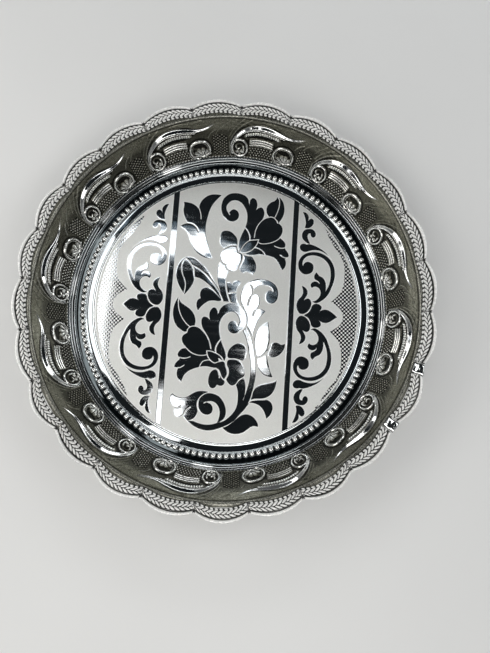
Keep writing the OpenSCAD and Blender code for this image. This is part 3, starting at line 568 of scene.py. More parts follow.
def floor_fields(X, Y):
    """Signed distance from the motifs, distance from the veins, and the lattice patches."""
    sd = np.full(len(X), 3.0)
    vein = np.full(len(X), 3.0)
    hatch = np.full(len(X), 3.0)
    for s in SHAPES.values():
        shape_field(sd, X, Y, spline(s, True) * SHRINK + SHIFT)
    for v in VEINS:
        line_field(vein, X, Y, spline(v, False) * SHRINK + SHIFT)
    for left in (False, True):
        turn = to_left if left else (lambda p: p)
        for low in (False, True):
            flip = mirror_y if low else (lambda p: p)
            for s in SIDE.values():
                shape_field(sd, X, Y, spline([turn(flip(p)) for p in s], True) * SHRINK + SHIFT)
        palm = PALM_IN + (PALM_LEFT if left else PALM)
        whole = palm + [mirror_y(p) for p in palm[-2:0:-1]]
        shape_field(sd, X, Y, spline([turn(p) for p in whole], True) * SHRINK + SHIFT)
        half = spline([turn(p) for p in HATCH], False)
        other = spline([turn(mirror_y(p)) for p in HATCH], False)[::-1]
        sign = -1 if left else 1
        a1 = math.atan2(other[-1][1], sign * other[-1][0])
        a0 = math.atan2(half[0][1], sign * half[0][0])
        arc = np.array([(sign * 90.7 * math.cos(t), 90.7 * math.sin(t)) for t in np.linspace(a1, a0, 70)])
        ring = np.concatenate([half, other, arc]) * SHRINK + SHIFT
        shape_field(hatch, X, Y, ring)
    for x0, x1 in (BAR_R, BAR_L):
        x0, x1 = x0 * SHRINK + SHIFT[0], x1 * SHRINK + SHIFT[0]
        sd = np.minimum(sd, np.maximum(x0 - X, X - x1))
    sd = np.minimum(sd, 91.5 - np.hypot(X, Y))
    return np.clip(sd, -3, 3), vein, hatch


def build_pan():
    X, Y, quads, edge = disc_grid(N, R_GRID)
    sd, vein, hatch = floor_fields(X, Y)
    R = np.hypot(X, Y)
    pol = smoothstep(0.22, -0.22, sd) * smoothstep(0.1, 0.5, vein)
    kx = math.pi / 1.37
    cell = smoothstep(0.0, 0.4, np.sin(kx * X) * np.sin(kx * Y)) * smoothstep(0.15, -0.15, hatch)
    pol = np.maximum(pol, cell * 0.12)
    line = smoothstep(0.6, 0.2, np.abs(sd - 0.25) * 1.5)
    Z = FLOOR_Z - GROUND_DROP * (1 - pol) + 0.008 * line
    Z += pol * 0.010 * wob(X, Y, 9.0, 3) * smoothstep(0, -1.2, sd)
    Z += 0.035 * wob(X, Y, 46.0, 5) * smoothstep(91, 80, R)
    Z -= 0.05 * smoothstep(91.3, 91.9, R)
    verts = [np.stack([X, Y, Z], 1)]
    attr = {"motif": [sd], "vein": [vein], "hatch": [hatch]}
    faces = [quads]
    mats = [np.zeros(len(quads))]
    # the rest of the section, out to the turned-up edge and back underneath
    top = [(92.1, 1.62), (92.3, 1.52), (92.5, 1.36), (92.7, 1.22), (92.95, 1.14), (93.3, 1.1), (94.0, 1.09), (95.0, 1.09),
           (96.0, 1.09), (96.8, 1.1), (97.2, 1.13), (97.45, 1.22), (97.65, 1.42), (97.8, 1.7), (97.92, 1.95), (98.1, 2.08),
           (98.5, 2.1), (99.2, 2.1), (100.0, 2.1), (101.0, 2.1), (102.0, 2.1), (102.6, 2.11), (103.2, 2.12), (103.8, 2.12),
           (104.4, 2.11), (104.8, 2.11), (105.05, 2.14), (105.22, 2.25), (105.33, 2.45),
           (105.4, 2.72), (105.47, 2.9), (105.6, 2.98), (105.78, 3.0), (105.94, 2.97), (106.06, 2.88), (106.12, 2.7)]
    low = [(106.13, 2.2), (106.08, 1.78), (105.94, 1.52), (105.7, 1.36), (105.3, 1.3), (104, 1.3), (102, 1.3), (100, 1.3),
           (98.8, 1.29), (98.5, 1.2), (98.28, 1.0), (98.1, 0.7), (97.92, 0.4), (97.7, 0.18), (97.4, 0.05), (97.0, 0.0),
           (96.0, 0.0), (95.0, 0.0), (94.0, 0.0), (93.2, 0.0), (92.85, 0.05), (92.55, 0.17), (92.25, 0.38), (91.98, 0.62),
           (91.7, 0.79), (91.3, 0.88), (90.6, 0.9)]
    prof = top + low
    n_top = len(top)
    K = 4 * N
    th = np.arange(K) * TAU / K
    c, s = np.cos(th), np.sin(th)
    base = len(X)
    prev = edge
    idx = np.arange(K)
    for j, (r, z) in enumerate(prof):
        dz = 0.012 * np.sin(th * 5 + 1.1 + r * 0.02) + 0.008 * np.sin(th * 11 + 0.4)
        if j >= n_top - 4:
            dz = dz * 0
        verts.append(np.stack([r * c, r * s, z + dz], 1))
        cur = base + j * K + idx
        nxt = np.roll(idx, -1)
        faces.append(np.stack([prev, cur, cur[nxt], prev[nxt]], 1))
        mats.append(np.full(K, 1 if j < n_top else 2))
        for k, v in (("motif", -3.0), ("vein", 3.0), ("hatch", 3.0)):
            attr[k].append(np.full(K, v))
        prev = cur
    # underside: rings in to the middle, with the back of the pressing just showing
    inner = [89, 87, 84.5, 82, 79, 76, 73, 70, 67, 64, 61, 58, 55, 52, 49, 46, 43, 40, 37, 34, 31, 28, 25, 22, 19, 16, 13, 10, 7, 4, 1.5]
    base += len(prof) * K
    step = 1
    for j, r in enumerate(inner):
        if r in (61, 40, 25, 13, 7) and len(prev) % 2 == 0 and len(prev) > 200:
            # halve the number of points: three-sided faces take up the change
            cur_n = len(prev) // 2
        else:
            cur_n = len(prev)
        tt = np.arange(cur_n) * TAU / cur_n
        x, y = r * np.cos(tt), r * np.sin(tt)
        z = 0.9 + 0.03 * wob(x, y, 46.0, 5) * smoothstep(91, 80, r) + 0.01 * wob(x, y, 14.0, 8)
        verts.append(np.stack([x, y, np.maximum(z, 0.2)], 1))
        cur = base + np.arange(cur_n)
        nx = np.roll(np.arange(cur_n), -1)
        if cur_n == len(prev):
            faces.append(np.stack([prev, cur, cur[nx], prev[nx]], 1))
            mats.append(np.full(cur_n, 2))
        else:
            a, b, d = prev[0::2], prev[1::2], np.roll(prev[0::2], -1)
            faces.append(np.stack([a, cur, b], 1))
            faces.append(np.stack([b, cur, cur[nx]], 1))
            faces.append(np.stack([b, cur[nx], d], 1))
            mats += [np.full(cur_n, 2)] * 3
        for k, v in (("motif", -3.0), ("vein", 3.0), ("hatch", 3.0)):
            attr[k].append(np.full(cur_n, v))
        base += cur_n
        prev = cur
    verts.append(np.array([[0, 0, 0.9]]))
    for k in attr:
        attr[k].append(np.array([-3.0]))
    nx = np.roll(prev, -1)
    faces.append(np.stack([prev, np.full(len(prev), base), nx], 1))
    mats.append(np.full(len(prev), 2))
    ob = mesh_object("pan_sheet", np.concatenate(verts), faces,
                     {k: np.concatenate(v) for k, v in attr.items()}, (M_FLOOR, M_RING, M_UNDER), np.concatenate(mats))
    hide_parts("dish_pan")
    return ob


# ------------------------------------------------------------------ beaded border


def build_beads():
    steps, ring, R, r0, zc, low = 24, 20, 2.0, 100.0, 2.7, 2.12
    pitch = TAU / 144
    V, A = [], []
    g = np.random.default_rng(12)
    size = g.normal(0, 0.025, 144)
    push = g.normal(0, 0.04, 144)
    for i in range(144):
        for q in range(steps):
            s = (q / steps - 0.5) * pitch * r0
            Ri = R - 0.04 + size[i]
            rho = max(0.8, math.sqrt(max(Ri * Ri - s * s, 0)))
            rc = r0 + push[i] * (1 - (2 * q / steps - 1) ** 2)
            a = -(i + q / steps) * pitch
            f = np.linspace(0, math.pi, ring)
            lim = math.asin(min((zc - low) / max(rho, 0.7), 1))
            f = -lim + (math.pi + 2 * lim) * np.linspace(0, 1, ring)
            rr = rc + rho * np.cos(f)
            zz = np.minimum(np.maximum(zc + rho * np.sin(f), low), 4.7)
            V.append(np.stack([rr * math.cos(a), rr * math.sin(a), zz], 1))
            # tarnish and painted shade: dark at each bead's narrow neck and at its foot on the ring
            A.append(np.full(ring, smoothstep(0.8, 1.9, rho)) * smoothstep(2.1, 3.0, zz))
    n = 144 * steps
    V, A = np.concatenate(V), np.concatenate(A)
    i, j = np.meshgrid(np.arange(n), np.arange(ring), indexing="ij")
    k = (i * ring + j).ravel()
    right = (i * ring + (j + 1) % ring).ravel()
    nk = (((i + 1) % n) * ring + j).ravel()
    nr = (((i + 1) % n) * ring + (j + 1) % ring).ravel()
    faces = np.stack([k, nk, nr, right], 1)
    ob = mesh_object("bead_row", V, faces, {"tarnish_and_painted_shade": A}, (M_BEAD,))
    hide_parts("bead_border")
    return ob


# ------------------------------------------------------------------ wall

WB_R, WB_Z, WT_R, WT_Z = 106.2, 1.3, 121.4, 36.2
SLOPE = (WT_R - WB_R) / (WT_Z - WB_Z)
NRM = np.array([-math.cos(math.atan(SLOPE)), math.sin(math.atan(SLOPE))])  # inward and up
PER = 60.6
Z0_V, DZ_V = 7.0, 0.843


def ridge(d, half, power=2.0):
    """Rounded ridge profile, 1 on the centre line and 0 at the half width."""
    return np.clip(1 - (np.abs(d) / half) ** power, 0, 1) ** 0.5


def soft(d, half):
    return smoothstep(half, 0.0, np.abs(d))


def stroke(X, V, pts, H, power=2.0, n=6):
    """Ridge along a line of (x, v, half width) points, wrapped round the repeat."""
    line = spline([p[:2] for p in pts], False, n)
    w = np.interp(np.linspace(0, len(pts) - 1, len(line)), np.arange(len(pts)), [p[2] for p in pts])
    best = np.full(X.shape, 9.0)
    side = np.zeros(X.shape)
    for off in (-PER, 0, PER):
        for i in range(len(line) - 1):
            a, b = line[i] + (off, 0), line[i + 1] + (off, 0)
            d2, t = seg_dist(X, V, a, b)
            ww = w[i] + (w[i + 1] - w[i]) * t
            d = np.sqrt(d2) / np.maximum(ww, 0.05)
            m = d < best
            best = np.where(m, d, best)
    return H * np.clip(1 - best**power, 0, 1) ** 0.6, best


def blade(X, V, pts, H, n=6):
    """Leaf-like ridge: a straight upper side, and a crest near the lower edge. Height follows the width."""
    line = spline([p[:2] for p in pts], False, n)
    w = np.interp(np.linspace(0, len(pts) - 1, len(line)), np.arange(len(pts)), [p[2] for p in pts])
    best = np.full(X.shape, 9.0)
    wide = np.ones(X.shape)
    for off in (-PER, 0, PER):
        for i in range(len(line) - 1):
            a, b = line[i] + (off, 0), line[i + 1] + (off, 0)
            d2, t = seg_dist(X, V, a, b)
            ww = np.maximum(w[i] + (w[i + 1] - w[i]) * t, 0.05)
            d = np.sqrt(d2) / ww * np.sign((b[0] - a[0]) * (V - a[1]) - (b[1] - a[1]) * (X - a[0]) + 1e-12)
            m = np.abs(d) < np.abs(best)
            best = np.where(m, d, best)
            wide = np.where(m, ww, wide)
    up = np.clip((1 - best) / 1.35, 0, 1.2)
    dn = np.clip((1 + best) / 0.65, 0, 9) ** 0.7 * 0.97
    return H * wide * np.minimum(up, dn), best


def wall_height(x, v):
    """Relief in mm, and how polished the place is, over one repeat."""
    x = (x + 20.6) % PER - 20.6
    h = np.zeros(x.shape)
    pol = np.zeros(x.shape)
    hold = np.zeros(x.shape)

    def add(k, on=1.0):
        nonlocal h
        h = np.maximum(h, k * on)

    # matte ground with flowing folds
    h += 0.13 + 0.04 * wob(x, v * 1.4, 11.0, 21)
    fold = np.sin((v - 0.18 * x + 2.2 * np.sin(x * TAU / PER + 0.6)) * TAU / 3.1)
    h += 0.018 * fold * smoothstep(26, 30, v) * smoothstep(35, 32, v)
    # left scroll: an open volute with a fan in it
    th = np.linspace(-75, 285, 30)
    rad = np.interp(th, [-75, 0, 120, 220, 285], [7.7, 7.5, 7.4, 6.6, 5.0])
    pts = [(r * math.cos(math.radians(a)), 8.5 + 1.06 * r * math.sin(math.radians(a)), w)
           for a, r, w in zip(th, rad, np.interp(th, [-75, 0, 120, 285], [0.75, 0.95, 0.95, 0.7]))]
    k, _ = stroke(x, v, pts, 0.95, n=2)
    add(k)
    k, _ = stroke(x, v, [(p[0] * 0.79, 8.5 + (p[1] - 8.5) * 0.79, 0.42) for p in pts[4:24]], 0.5, n=2)
    add(k)
    k, _ = stroke(x, v, [(10.2, 16.2, 0.3), (9.9, 12, 0.5), (9.2, 7.5, 0.55), (7.6, 3.0, 0.5), (5.6, 0.9, 0.35)], 0.6)
    add(k)
    fx, fv = x + 1.0, v - 3.0
    ang = np.arctan2(fv, fx)
    rr = np.hypot(fx, fv)
    lim = 6.6 + 0.55 * np.abs(np.cos(ang * 5.5))
    dome = np.clip(1 - (rr / lim) ** 3, 0, 1) ** 0.5 * smoothstep(-0.15, 0.25, np.sin(ang) + 0.1)
    add(dome * (0.2 + 0.55 * np.abs(np.cos(ang * 5.5)) ** 0.6 + 0.2 * rr / 7))
    hollow = smoothstep(1.0, 0.5, np.hypot((x - 0.8) / 5.0, (v - 12.0) / 2.3)) * (1 - smoothstep(0.75, 0.9, h))
    h -= 0.55 * hollow
    # long leaf over the repeat
    leaf = [(-14.2, 32.0, 0.3), (-11.2, 29.6, 0.5), (-7.5, 27.2, 0.7), (-3.2, 25.6, 0.9), (1.5, 25.4, 1.2), (6, 26.4, 1.6),
            (11, 27.6, 1.9), (16, 28.3, 2.0), (21, 28.1, 1.9), (25.5, 26.8, 1.7), (29.6, 24.3, 1.5), (33.2, 20.9, 1.3),
            (36.2, 16.6, 1.05), (37.9, 11.8, 0.85), (38.3, 7.0, 0.6), (37.9, 3.4, 0.4)]
    leaf = [(p[0], p[1], 0.92 * p[2]) for p in leaf]
    k, b = blade(x, v, leaf, 0.72)
    add(k)
    pol = np.maximum(pol, smoothstep(1.02, 0.92, np.abs(b)) * smoothstep(-12, -6, x))
    low = [(p[0] + 0.3, p[1] - p[2] - 0.55, 0.42) for p in leaf[4:13]]
    k, _ = stroke(x, v, low, 0.75)
    add(k)
    up = [(p[0] - 0.2, p[1] + p[2] + 0.7, 0.32) for p in leaf[6:14]]
    k, _ = stroke(x, v, up, 0.42)
    add(k)
    # plumes above the right scroll, and drifting lines near the top
    for pts, H, w in (
        ([(24.5, 33.5), (29, 30.5), (33, 26.6), (36.5, 21.5), (38.8, 16)], 0.42, 0.42),
        ([(29.5, 34), (33.5, 30), (37, 25), (39.4, 19.5)], 0.38, 0.38),
        ([(34.5, 33.5), (38, 29), (40.5, 23.5)], 0.34, 0.36),
        ([(-4, 33.6), (4, 32.6), (12, 33.2), (20, 32.4)], 0.26, 0.45),
        ([(-20, 30.5), (-16, 27.5), (-13, 23.6), (-11.5, 20)], 0.34, 0.4),
        ([(-12.0, 25.0), (-8.5, 22.2), (-6.5, 18.4)], 0.4, 0.45),
    ):
        k, _ = stroke(x, v, [(p[0], p[1], w) for p in pts], H)
        add(k)
    # row of upright ticks under the leaf
    lift = np.interp(x, [4, 11, 16, 21, 27, 31], [21.6, 22.9, 23.5, 23.2, 21.4, 18.6])
    band = smoothstep(1.35, 0.9, np.abs(v - lift)) * smoothstep(3.5, 6, x) * smoothstep(30, 28, x)
    add(band * (0.25 + 0.5 * np.abs(np.cos(x * math.pi / 1.55)) ** 0.7))
    # middle panel: arched flutes above, rows of dots below
    bow = 2.4 * (1 - ((x - 17) / 9.5) ** 2)
    side = smoothstep(8.2, 9.4, x) * smoothstep(26.2, 25.0, x)
    flute = side * smoothstep(10.2, 10.9, v - bow * 0.6) * smoothstep(18.2, 17.5, v - bow * 0.6)
    h = np.where(flute > 0.5, h * 0.0 - 0.1, h)
    add(flute * (-0.05 + 0.75 * np.abs(np.cos((v - bow * 0.75) * math.pi / 2.0)) ** 0.7))
    dots = side * smoothstep(2.0, 2.5, v) * smoothstep(10.4, 9.9, v - bow * 0.35)
    vv = v - bow * 0.3
    row = np.floor((vv - 2.2) / 2.05)
    dx = ((x + (row % 2) * 1.05) / 2.1) % 1 - 0.5
    dv = ((vv - 2.2) / 2.05) % 1 - 0.5
    dot = np.clip(1 - (dx / 0.34) ** 2 - (dv / 0.32) ** 2, 0, 1) ** 0.5
    h = np.where(dots > 0.5, h * 0.0 - 0.12, h)
    add(np.where(dot > 0, dots * 0.6 * dot, -1))
    # right scroll: a taller oval with a curl and three lobes
    th = np.linspace(-120, 250, 30)
    pts = [(32.4 + 5.4 * math.cos(math.radians(a)), 9.2 + 7.4 * math.sin(math.radians(a)), 0.85) for a in th]
    k, _ = stroke(x, v, pts, 0.95, n=2)
    add(k)
    k, _ = stroke(x, v, [(29.9, 5, 0.5), (29.6, 9, 0.65), (31.3, 12.6, 0.75), (34.0, 12.4, 0.75), (35.0, 9.8, 0.65), (33.6, 8.2, 0.55), (32.3, 9.2, 0.4)], 0.8)
    add(k)
    h -= 0.75 * h * smoothstep(1.0, 0.6, np.hypot((x - 32.3) / 3.9, (v - 12.3) / 2.9))
    for cx, cv, rr in ((31.0, 6.2, 1.7), (34.0, 5.8, 1.6), (32.5, 3.4, 1.5)):
        add(0.7 * np.clip(1 - ((x - cx) ** 2 + (v - cv) ** 2) / rr**2, 0, 1) ** 0.5)
    # thin upright line, then the diaper patch
    k, _ = stroke(x, v, [(39.2, 1.5, 0.3), (39.6, 8, 0.4), (39.4, 15, 0.3)], 0.5)
    add(k)
    patch = smoothstep(-20.2, -19.4, x) * smoothstep(-8.6, -9.4, x) * smoothstep(2.2, 3.0, v) * smoothstep(21.5, 20.5, v + (x + 14) ** 2 * 0.05)
    du = (x + v * 1.15) / 2.9 % 1 - 0.5
    dw = (x - v * 1.15) / 2.9 % 1 - 0.5
    dd = np.clip(1 - (du / 0.31) ** 2 - (dw / 0.31) ** 2, 0, 1) ** 0.5
    h = np.where(patch > 0.5, -0.12, h)
    add(np.where(dd > 0, patch * 0.5 * dd, -1))
    # knobbly row along the foot of the pattern
    foot = smoothstep(0.7, 0.35, np.abs(v - 1.1)) * (0.35 + 0.25 * np.abs(np.sin(x * math.pi / 2.3)))
    add(foot * smoothstep(0.15, 0.5, np.abs(np.sin(x * math.pi / 2.3))))
    edge = smoothstep(34.3, 33.2, v) * smoothstep(-0.2, 0.5, v)
    return 1.35 * h * edge, pol * edge


def build_wall():
    nx, nv = 190, 118
    th0 = 13.0 - 20.6 / PER * 30
    xs = np.arange(nx) / nx * PER - 20.6
    zs = np.linspace(7.0, WT_Z - 0.3, nv)
    Xg, Zg = np.meshgrid(xs, zs, indexing="ij")
    Vg = (Zg - Z0_V) / DZ_V
    H, P = wall_height(Xg, Vg)
    soft_h = H.copy()
    for _ in range(3):
        soft_h = sum(np.roll(soft_h, k, 0) for k in range(-3, 4)) / 7
        pad = np.pad(soft_h, ((0, 0), (4, 4)), mode="edge")
        soft_h = sum(pad[:, k:k + nv] for k in range(9)) / 9
    # painted shade: hollows below the smoothed relief get a dark mask, and so does the low ground below the leaf; none
    # on the polished leaf
    C = smoothstep(0.02, 0.13, soft_h - H)
    C = np.maximum(C, 0.68 * smoothstep(27.5, 23.0, Vg) * smoothstep(0.42, 0.2, H)) * (1 - smoothstep(0.5, 0.9, P))
    th_rep = th0 + np.arange(nx) / nx * 30
    # section below, above and behind: r offset inward along the slope's normal (a), z
    margin = [(1.35, 0.0), (2.0, 0.0), (2.8, 0.0), (3.2, 0.7), (3.5, 0.88), (3.9, 0.88), (4.08, 0.5), (4.4, 0.44), (4.8, 0.44), (5.1, 0.42),
              (5.28, 0.12), (5.5, 0.08), (5.68, 0.45), (5.85, 0.74), (6.05, 0.8), (6.25, 0.74), (6.42, 0.35), (6.6, 0.1), (6.82, 0.1)]
    crown = [(121.55, 36.35), (121.75, 36.62), (122.0, 36.85), (122.35, 36.97), (122.9, 37.0), (123.8, 37.0), (124.5, 37.0), (124.75, 36.9),
             (124.8, 36.6), (124.72, 36.32), (124.4, 36.2), (123.4, 36.2), (122.75, 36.15), (122.35, 35.7)]
    nb = 60
    zb = np.linspace(35.2, 1.6, nb)
    V, R_, PL, CV = [], [], [], []
    K = nx * 12
    g = np.random.default_rng(4)
    hand = g.normal(0, 1, (12, 3))
    th = np.radians(th0 + np.arange(K) / nx * 30)
    deg = np.degrees(th)
    t = ((deg - 1.0) / 30) % 1
    crease = 0.30 * np.abs(2 * t - 1) ** 9 - 0.10 * (1 - (2 * t - 1) ** 2)
    c, s = np.cos(th), np.sin(th)
    dent = 0.06 * np.sin(th * 7 + 0.4) + 0.05 * np.sin(th * 3 + 2.0)
    Hk, Pk, Ck = np.tile(H, (12, 1)), np.tile(P, (12, 1)), np.tile(C, (12, 1))
    amp = 1 + 0.07 * np.repeat(hand[:, 0], nx)

    def push_row(r, z, rel, pol, tarnish_shade_mask=0.0):
        CV.append(np.broadcast_to(tarnish_shade_mask, r.shape).astype(float))
        V.append(np.stack([r * c, r * s, np.broadcast_to(z, r.shape)], 1))
        R_.append(np.broadcast_to(rel, r.shape).astype(float))
        PL.append(np.broadcast_to(pol, r.shape).astype(float))

    for z, off in margin:
        bend = crease * smoothstep(1.3, 3.0, z) * smoothstep(9, 5, z)
        r = WB_R + SLOPE * (z - WB_Z) + bend * smoothstep(1.3, 2.2, z) - off * 0.9
        # painted dark reflection, part tarnish: the margin's mask is dark except a faint line and the bright top ridge;
        # the pale patches every 30 degrees by the crease are painted highlights
        shade = np.interp(z, [3.0, 3.6, 3.8, 5.45, 5.62, 6.3, 6.42, 6.82], [1.0, 1.0, 0.75, 1.0, 0.1, 0.0, 0.95, 0.95])
        shade = shade * (1 - 0.9 * smoothstep(0.66, 0.74, t) * smoothstep(0.95, 0.9, t) * (0.5 + 0.5 * np.sin(3 * th + 0.6)))
        push_row(np.maximum(r, 106.16 if z < 3.1 else 0), z + off * 0.35, 0.6, 1.0, shade)
    n_front = len(margin) + nv
    for j, z in enumerate(zs):
        hh = Hk[:, j] * amp
        bend = crease * smoothstep(9, 5, z) + dent * smoothstep(6, 16, z) * smoothstep(36, 30, z)
        r = WB_R + SLOPE * (z - WB_Z) + bend + NRM[0] * hh
        push_row(r, z + NRM[1] * hh, hh, Pk[:, j], Ck[:, j])
    for r, z in crown:
        push_row(np.full(K, r) + 0.03 * np.sin(th * 9), z, 0.3, 0.12)
    n_face = n_front + len(crown) - 1
    Hb = np.stack([np.interp(zb, zs, Hk[i]) for i in range(nx)], 0)
    ker = np.array([1, 2, 3, 2, 1.0]) / 9
    Hs = sum(k * np.roll(Hb, d, 0) for k, d in zip(ker, (-2, -1, 0, 1, 2)))
    Hs = np.tile(Hs, (12, 1))
    for j, z in enumerate(zb):
        hh = Hs[:, j] * 0.95 * smoothstep(6.6, 7.6, z)
        r = WB_R + 0.87 + SLOPE * (z - WB_Z) + crease * smoothstep(9, 5, z) + NRM[0] * hh
        push_row(r, z + NRM[1] * hh, 0.3, 0.0)
    push_row(np.full(K, WB_R + 0.8), WB_Z, 0.3, 0.0)
    rows = len(V)
    V, R_, PL, CV = np.concatenate(V), np.concatenate(R_), np.concatenate(PL), np.concatenate(CV)
    idx = np.arange(K)
    nxt = np.roll(idx, -1)
    F, Mi = [], []
    for j in range(rows):
        a, b = j * K, ((j + 1) % rows) * K
        F.append(np.stack([a + idx, a + nxt, b + nxt, b + idx], 1)[:, ::-1])
        Mi.append(np.full(K, 0 if j < n_face else 1))
    ob = mesh_object("wall_sheet", V, np.concatenate(F), {"relief": R_, "pol": PL, "tarnish_and_painted_shade": CV}, (M_WALL, M_WALL_BACK), np.concatenate(Mi))
    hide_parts("wall_band")
    return ob


# ------------------------------------------------------------------ rim

LIFT = [0, 0, 0, 0, 0, 0.1, 0.2, 0.2, 0.2, 0.3, 0.35, 0.5, 0.4, 0.1, 0.1, 1, 0.1, 0.8, 0.15, 1, 0.1, 0.95, 0.3]
TOP_U = [0, 0.05, 0.12, 0.28, 0.48, 0.63, 0.69, 0.73, 0.78, 0.815, 0.87, 0.93, 0.97, 1.0]
TOP_Z = [0.45, 0.8, 1.05, 1.4, 1.5, 1.3, 0.9, 0.5, 0.7, 1.8, 2.1, 2.14, 2.05, 1.5]
UND = [(0.99, 0.45), (0.93, 0.42), (0.83, 0.35), (0.74, 0.62), (0.62, 1.0), (0.45, 1.15), (0.3, 1.05), (0.12, 0.5), (0.02, 0.05)]
SCALLOP, STRIP_W, STRIP_IN, STRIP_Z = 3.83, 6.4, 132.5 - 3.9 - 6.4, 37.05


def lobe_rows(a0, a1, u0, u1, lift, seed, nt=150, nu=58):
    """Vertices of one lobe: rows run along it, each row a closed section of the strip."""
    g = np.random.default_rng(seed)
    t = np.linspace(0, 1, nt)
    q = u0 + (u1 - u0) * t
    ang = np.radians(a0 + (a1 - a0) * t)
    arch = 1 - (2 * q - 1) ** 2
    r0 = STRIP_IN + (1.2 + 1.3 * lift) * arch
    w = STRIP_W + (SCALLOP - 1.2 - 0.6 * lift) * arch
    u = np.linspace(0, 1, nu) ** 1.0
    zt = np.interp(u, TOP_U, TOP_Z)
    zt = np.convolve(np.pad(zt, 1, mode="edge"), [0.25, 0.5, 0.25], "valid")
    T, U = np.meshgrid(t, u, indexing="ij")
    Q = np.meshgrid(q, u, indexing="ij")[0]
    n = 10.8 + g.uniform(-0.3, 0.3)
    end = np.minimum(Q, 1 - Q)
    body = smoothstep(0.012, 0.035, end)
    ph = g.uniform(-0.1, 0.1)
    orn = np.zeros(T.shape)
    # three rows: small beads on the inner edge, then two rows of slanted leaves
    for uc, hw, slant, amp, off in ((0.06, 0.05, 0.0, 0.5, 0.0), (0.25, 0.135, 1.0, 1.0, 0.25), (0.535, 0.135, -1.0, 1.0, 0.75)):
        m = (U - uc) / hw
        p = (T * n + off + ph + slant * (U - uc) / (2 * hw)) % 1 - 0.5
        one = np.clip(1 - (np.abs(p) / 0.36) ** 2 - np.abs(m) ** 3, 0, 1) ** 0.5
        vein = 0.16 * soft(p - 0.02, 0.10) * smoothstep(0.9, 0.4, np.abs(m)) if slant else 0
        orn = np.maximum(orn, amp * one - vein)
    orn = orn * smoothstep(0.70, 0.66, U)
    rib = 0.002 * np.cos(T * n * TAU) * smoothstep(0.8, 0.88, U) * smoothstep(1.0, 0.95, U)
    edge_n = smoothstep(0.0, 0.02, end)
    z = zt[None, :] * (0.62 + 0.38 * edge_n) + orn * body + rib
    z -= 0.55 * smoothstep(0.03, 0.0, end) * (U > 0.03)
    rad = r0[:, None] + w[:, None] * U
    zz = STRIP_Z + z + (1.5 * lift * arch)[:, None]
    zz += 0.05 * g.normal() * np.sin(math.pi * T)
    # painted shade: dark between the leaves and beads, in the groove before the lip and at the lobe ends; the raised
    # ornament and the lip stay bright
    tarnish_shade_mask = smoothstep(0.1, 0.45, orn) * (U < 0.74) + smoothstep(0.785, 0.81, U)
    tarnish_shade_mask = tarnish_shade_mask * body
    X, Y = rad * np.cos(ang)[:, None], rad * np.sin(ang)[:, None]
    top = np.stack([X, Y, np.minimum(zz, 41.03)], 2)
    ur = np.array([p[0] for p in UND])
    uz = np.array([p[1] for p in UND])
    # the outer edge follows the plate's outline; the under face is hollow
    rad = r0[:, None] + w[:, None] * ur[None, :]
    zz = STRIP_Z + uz[None, :] + (1.5 * lift * arch)[:, None] + 0 * rad
    und = np.stack([rad * np.cos(ang)[:, None], rad * np.sin(ang)[:, None], zz], 2)
    sec = np.concatenate([top, und], 1)
    tarnish_shade_mask = np.concatenate([np.clip(tarnish_shade_mask, 0, 1), np.full((nt, len(UND)), 0.2)], 1)
    return sec, tarnish_shade_mask, nu


def skin_lobe(sec, tarnish_shade_mask, nu, base):
    nt, m, _ = sec.shape
    i, j = np.meshgrid(np.arange(nt - 1), np.arange(m), indexing="ij")
    a = (i * m + j).ravel() + base
    b = (i * m + (j + 1) % m).ravel() + base
    c = ((i + 1) * m + (j + 1) % m).ravel() + base
    d = ((i + 1) * m + j).ravel() + base
    quads = np.stack([a, b, c, d], 1)
    mat = np.where((j.ravel() >= nu), 1, 0)
    # end caps: a fan from the middle of each end section
    caps, extra = [], []
    for e, row in ((0, 0), (1, nt - 1)):
        centre = base + nt * m + e
        extra.append(sec[row].mean(0))
        ring = base + row * m + np.arange(m)
        nx = np.roll(ring, -1)
        tri = np.stack([ring, nx, np.full(m, centre)], 1)
        caps.append(tri if e == 1 else tri[:, ::-1])
    tris = np.concatenate(caps)
    V = np.concatenate([sec.reshape(-1, 3), np.array(extra)])
    # painted shade: the end caps, in the notches, are dark
    A = np.concatenate([tarnish_shade_mask.ravel(), [0.1, 0.1]])
    return V, A, quads, mat, tris


def nub(centre, radius, base, seg=14, rings=9):
    """A small soldered nub."""
    V, F = [], []
    for i in range(rings + 1):
        f = math.pi * i / rings
        for j in range(seg):
            a = TAU * j / seg
            V.append((centre[0] + radius * math.sin(f) * math.cos(a), centre[1] + radius * math.sin(f) * math.sin(a), centre[2] + radius * 0.85 * math.cos(f)))
    for i in range(rings):
        for j in range(seg):
            k = (j + 1) % seg
            F.append((base + i * seg + j, base + (i + 1) * seg + j, base + (i + 1) * seg + k, base + i * seg + k))
    return np.array(V), np.array(F)


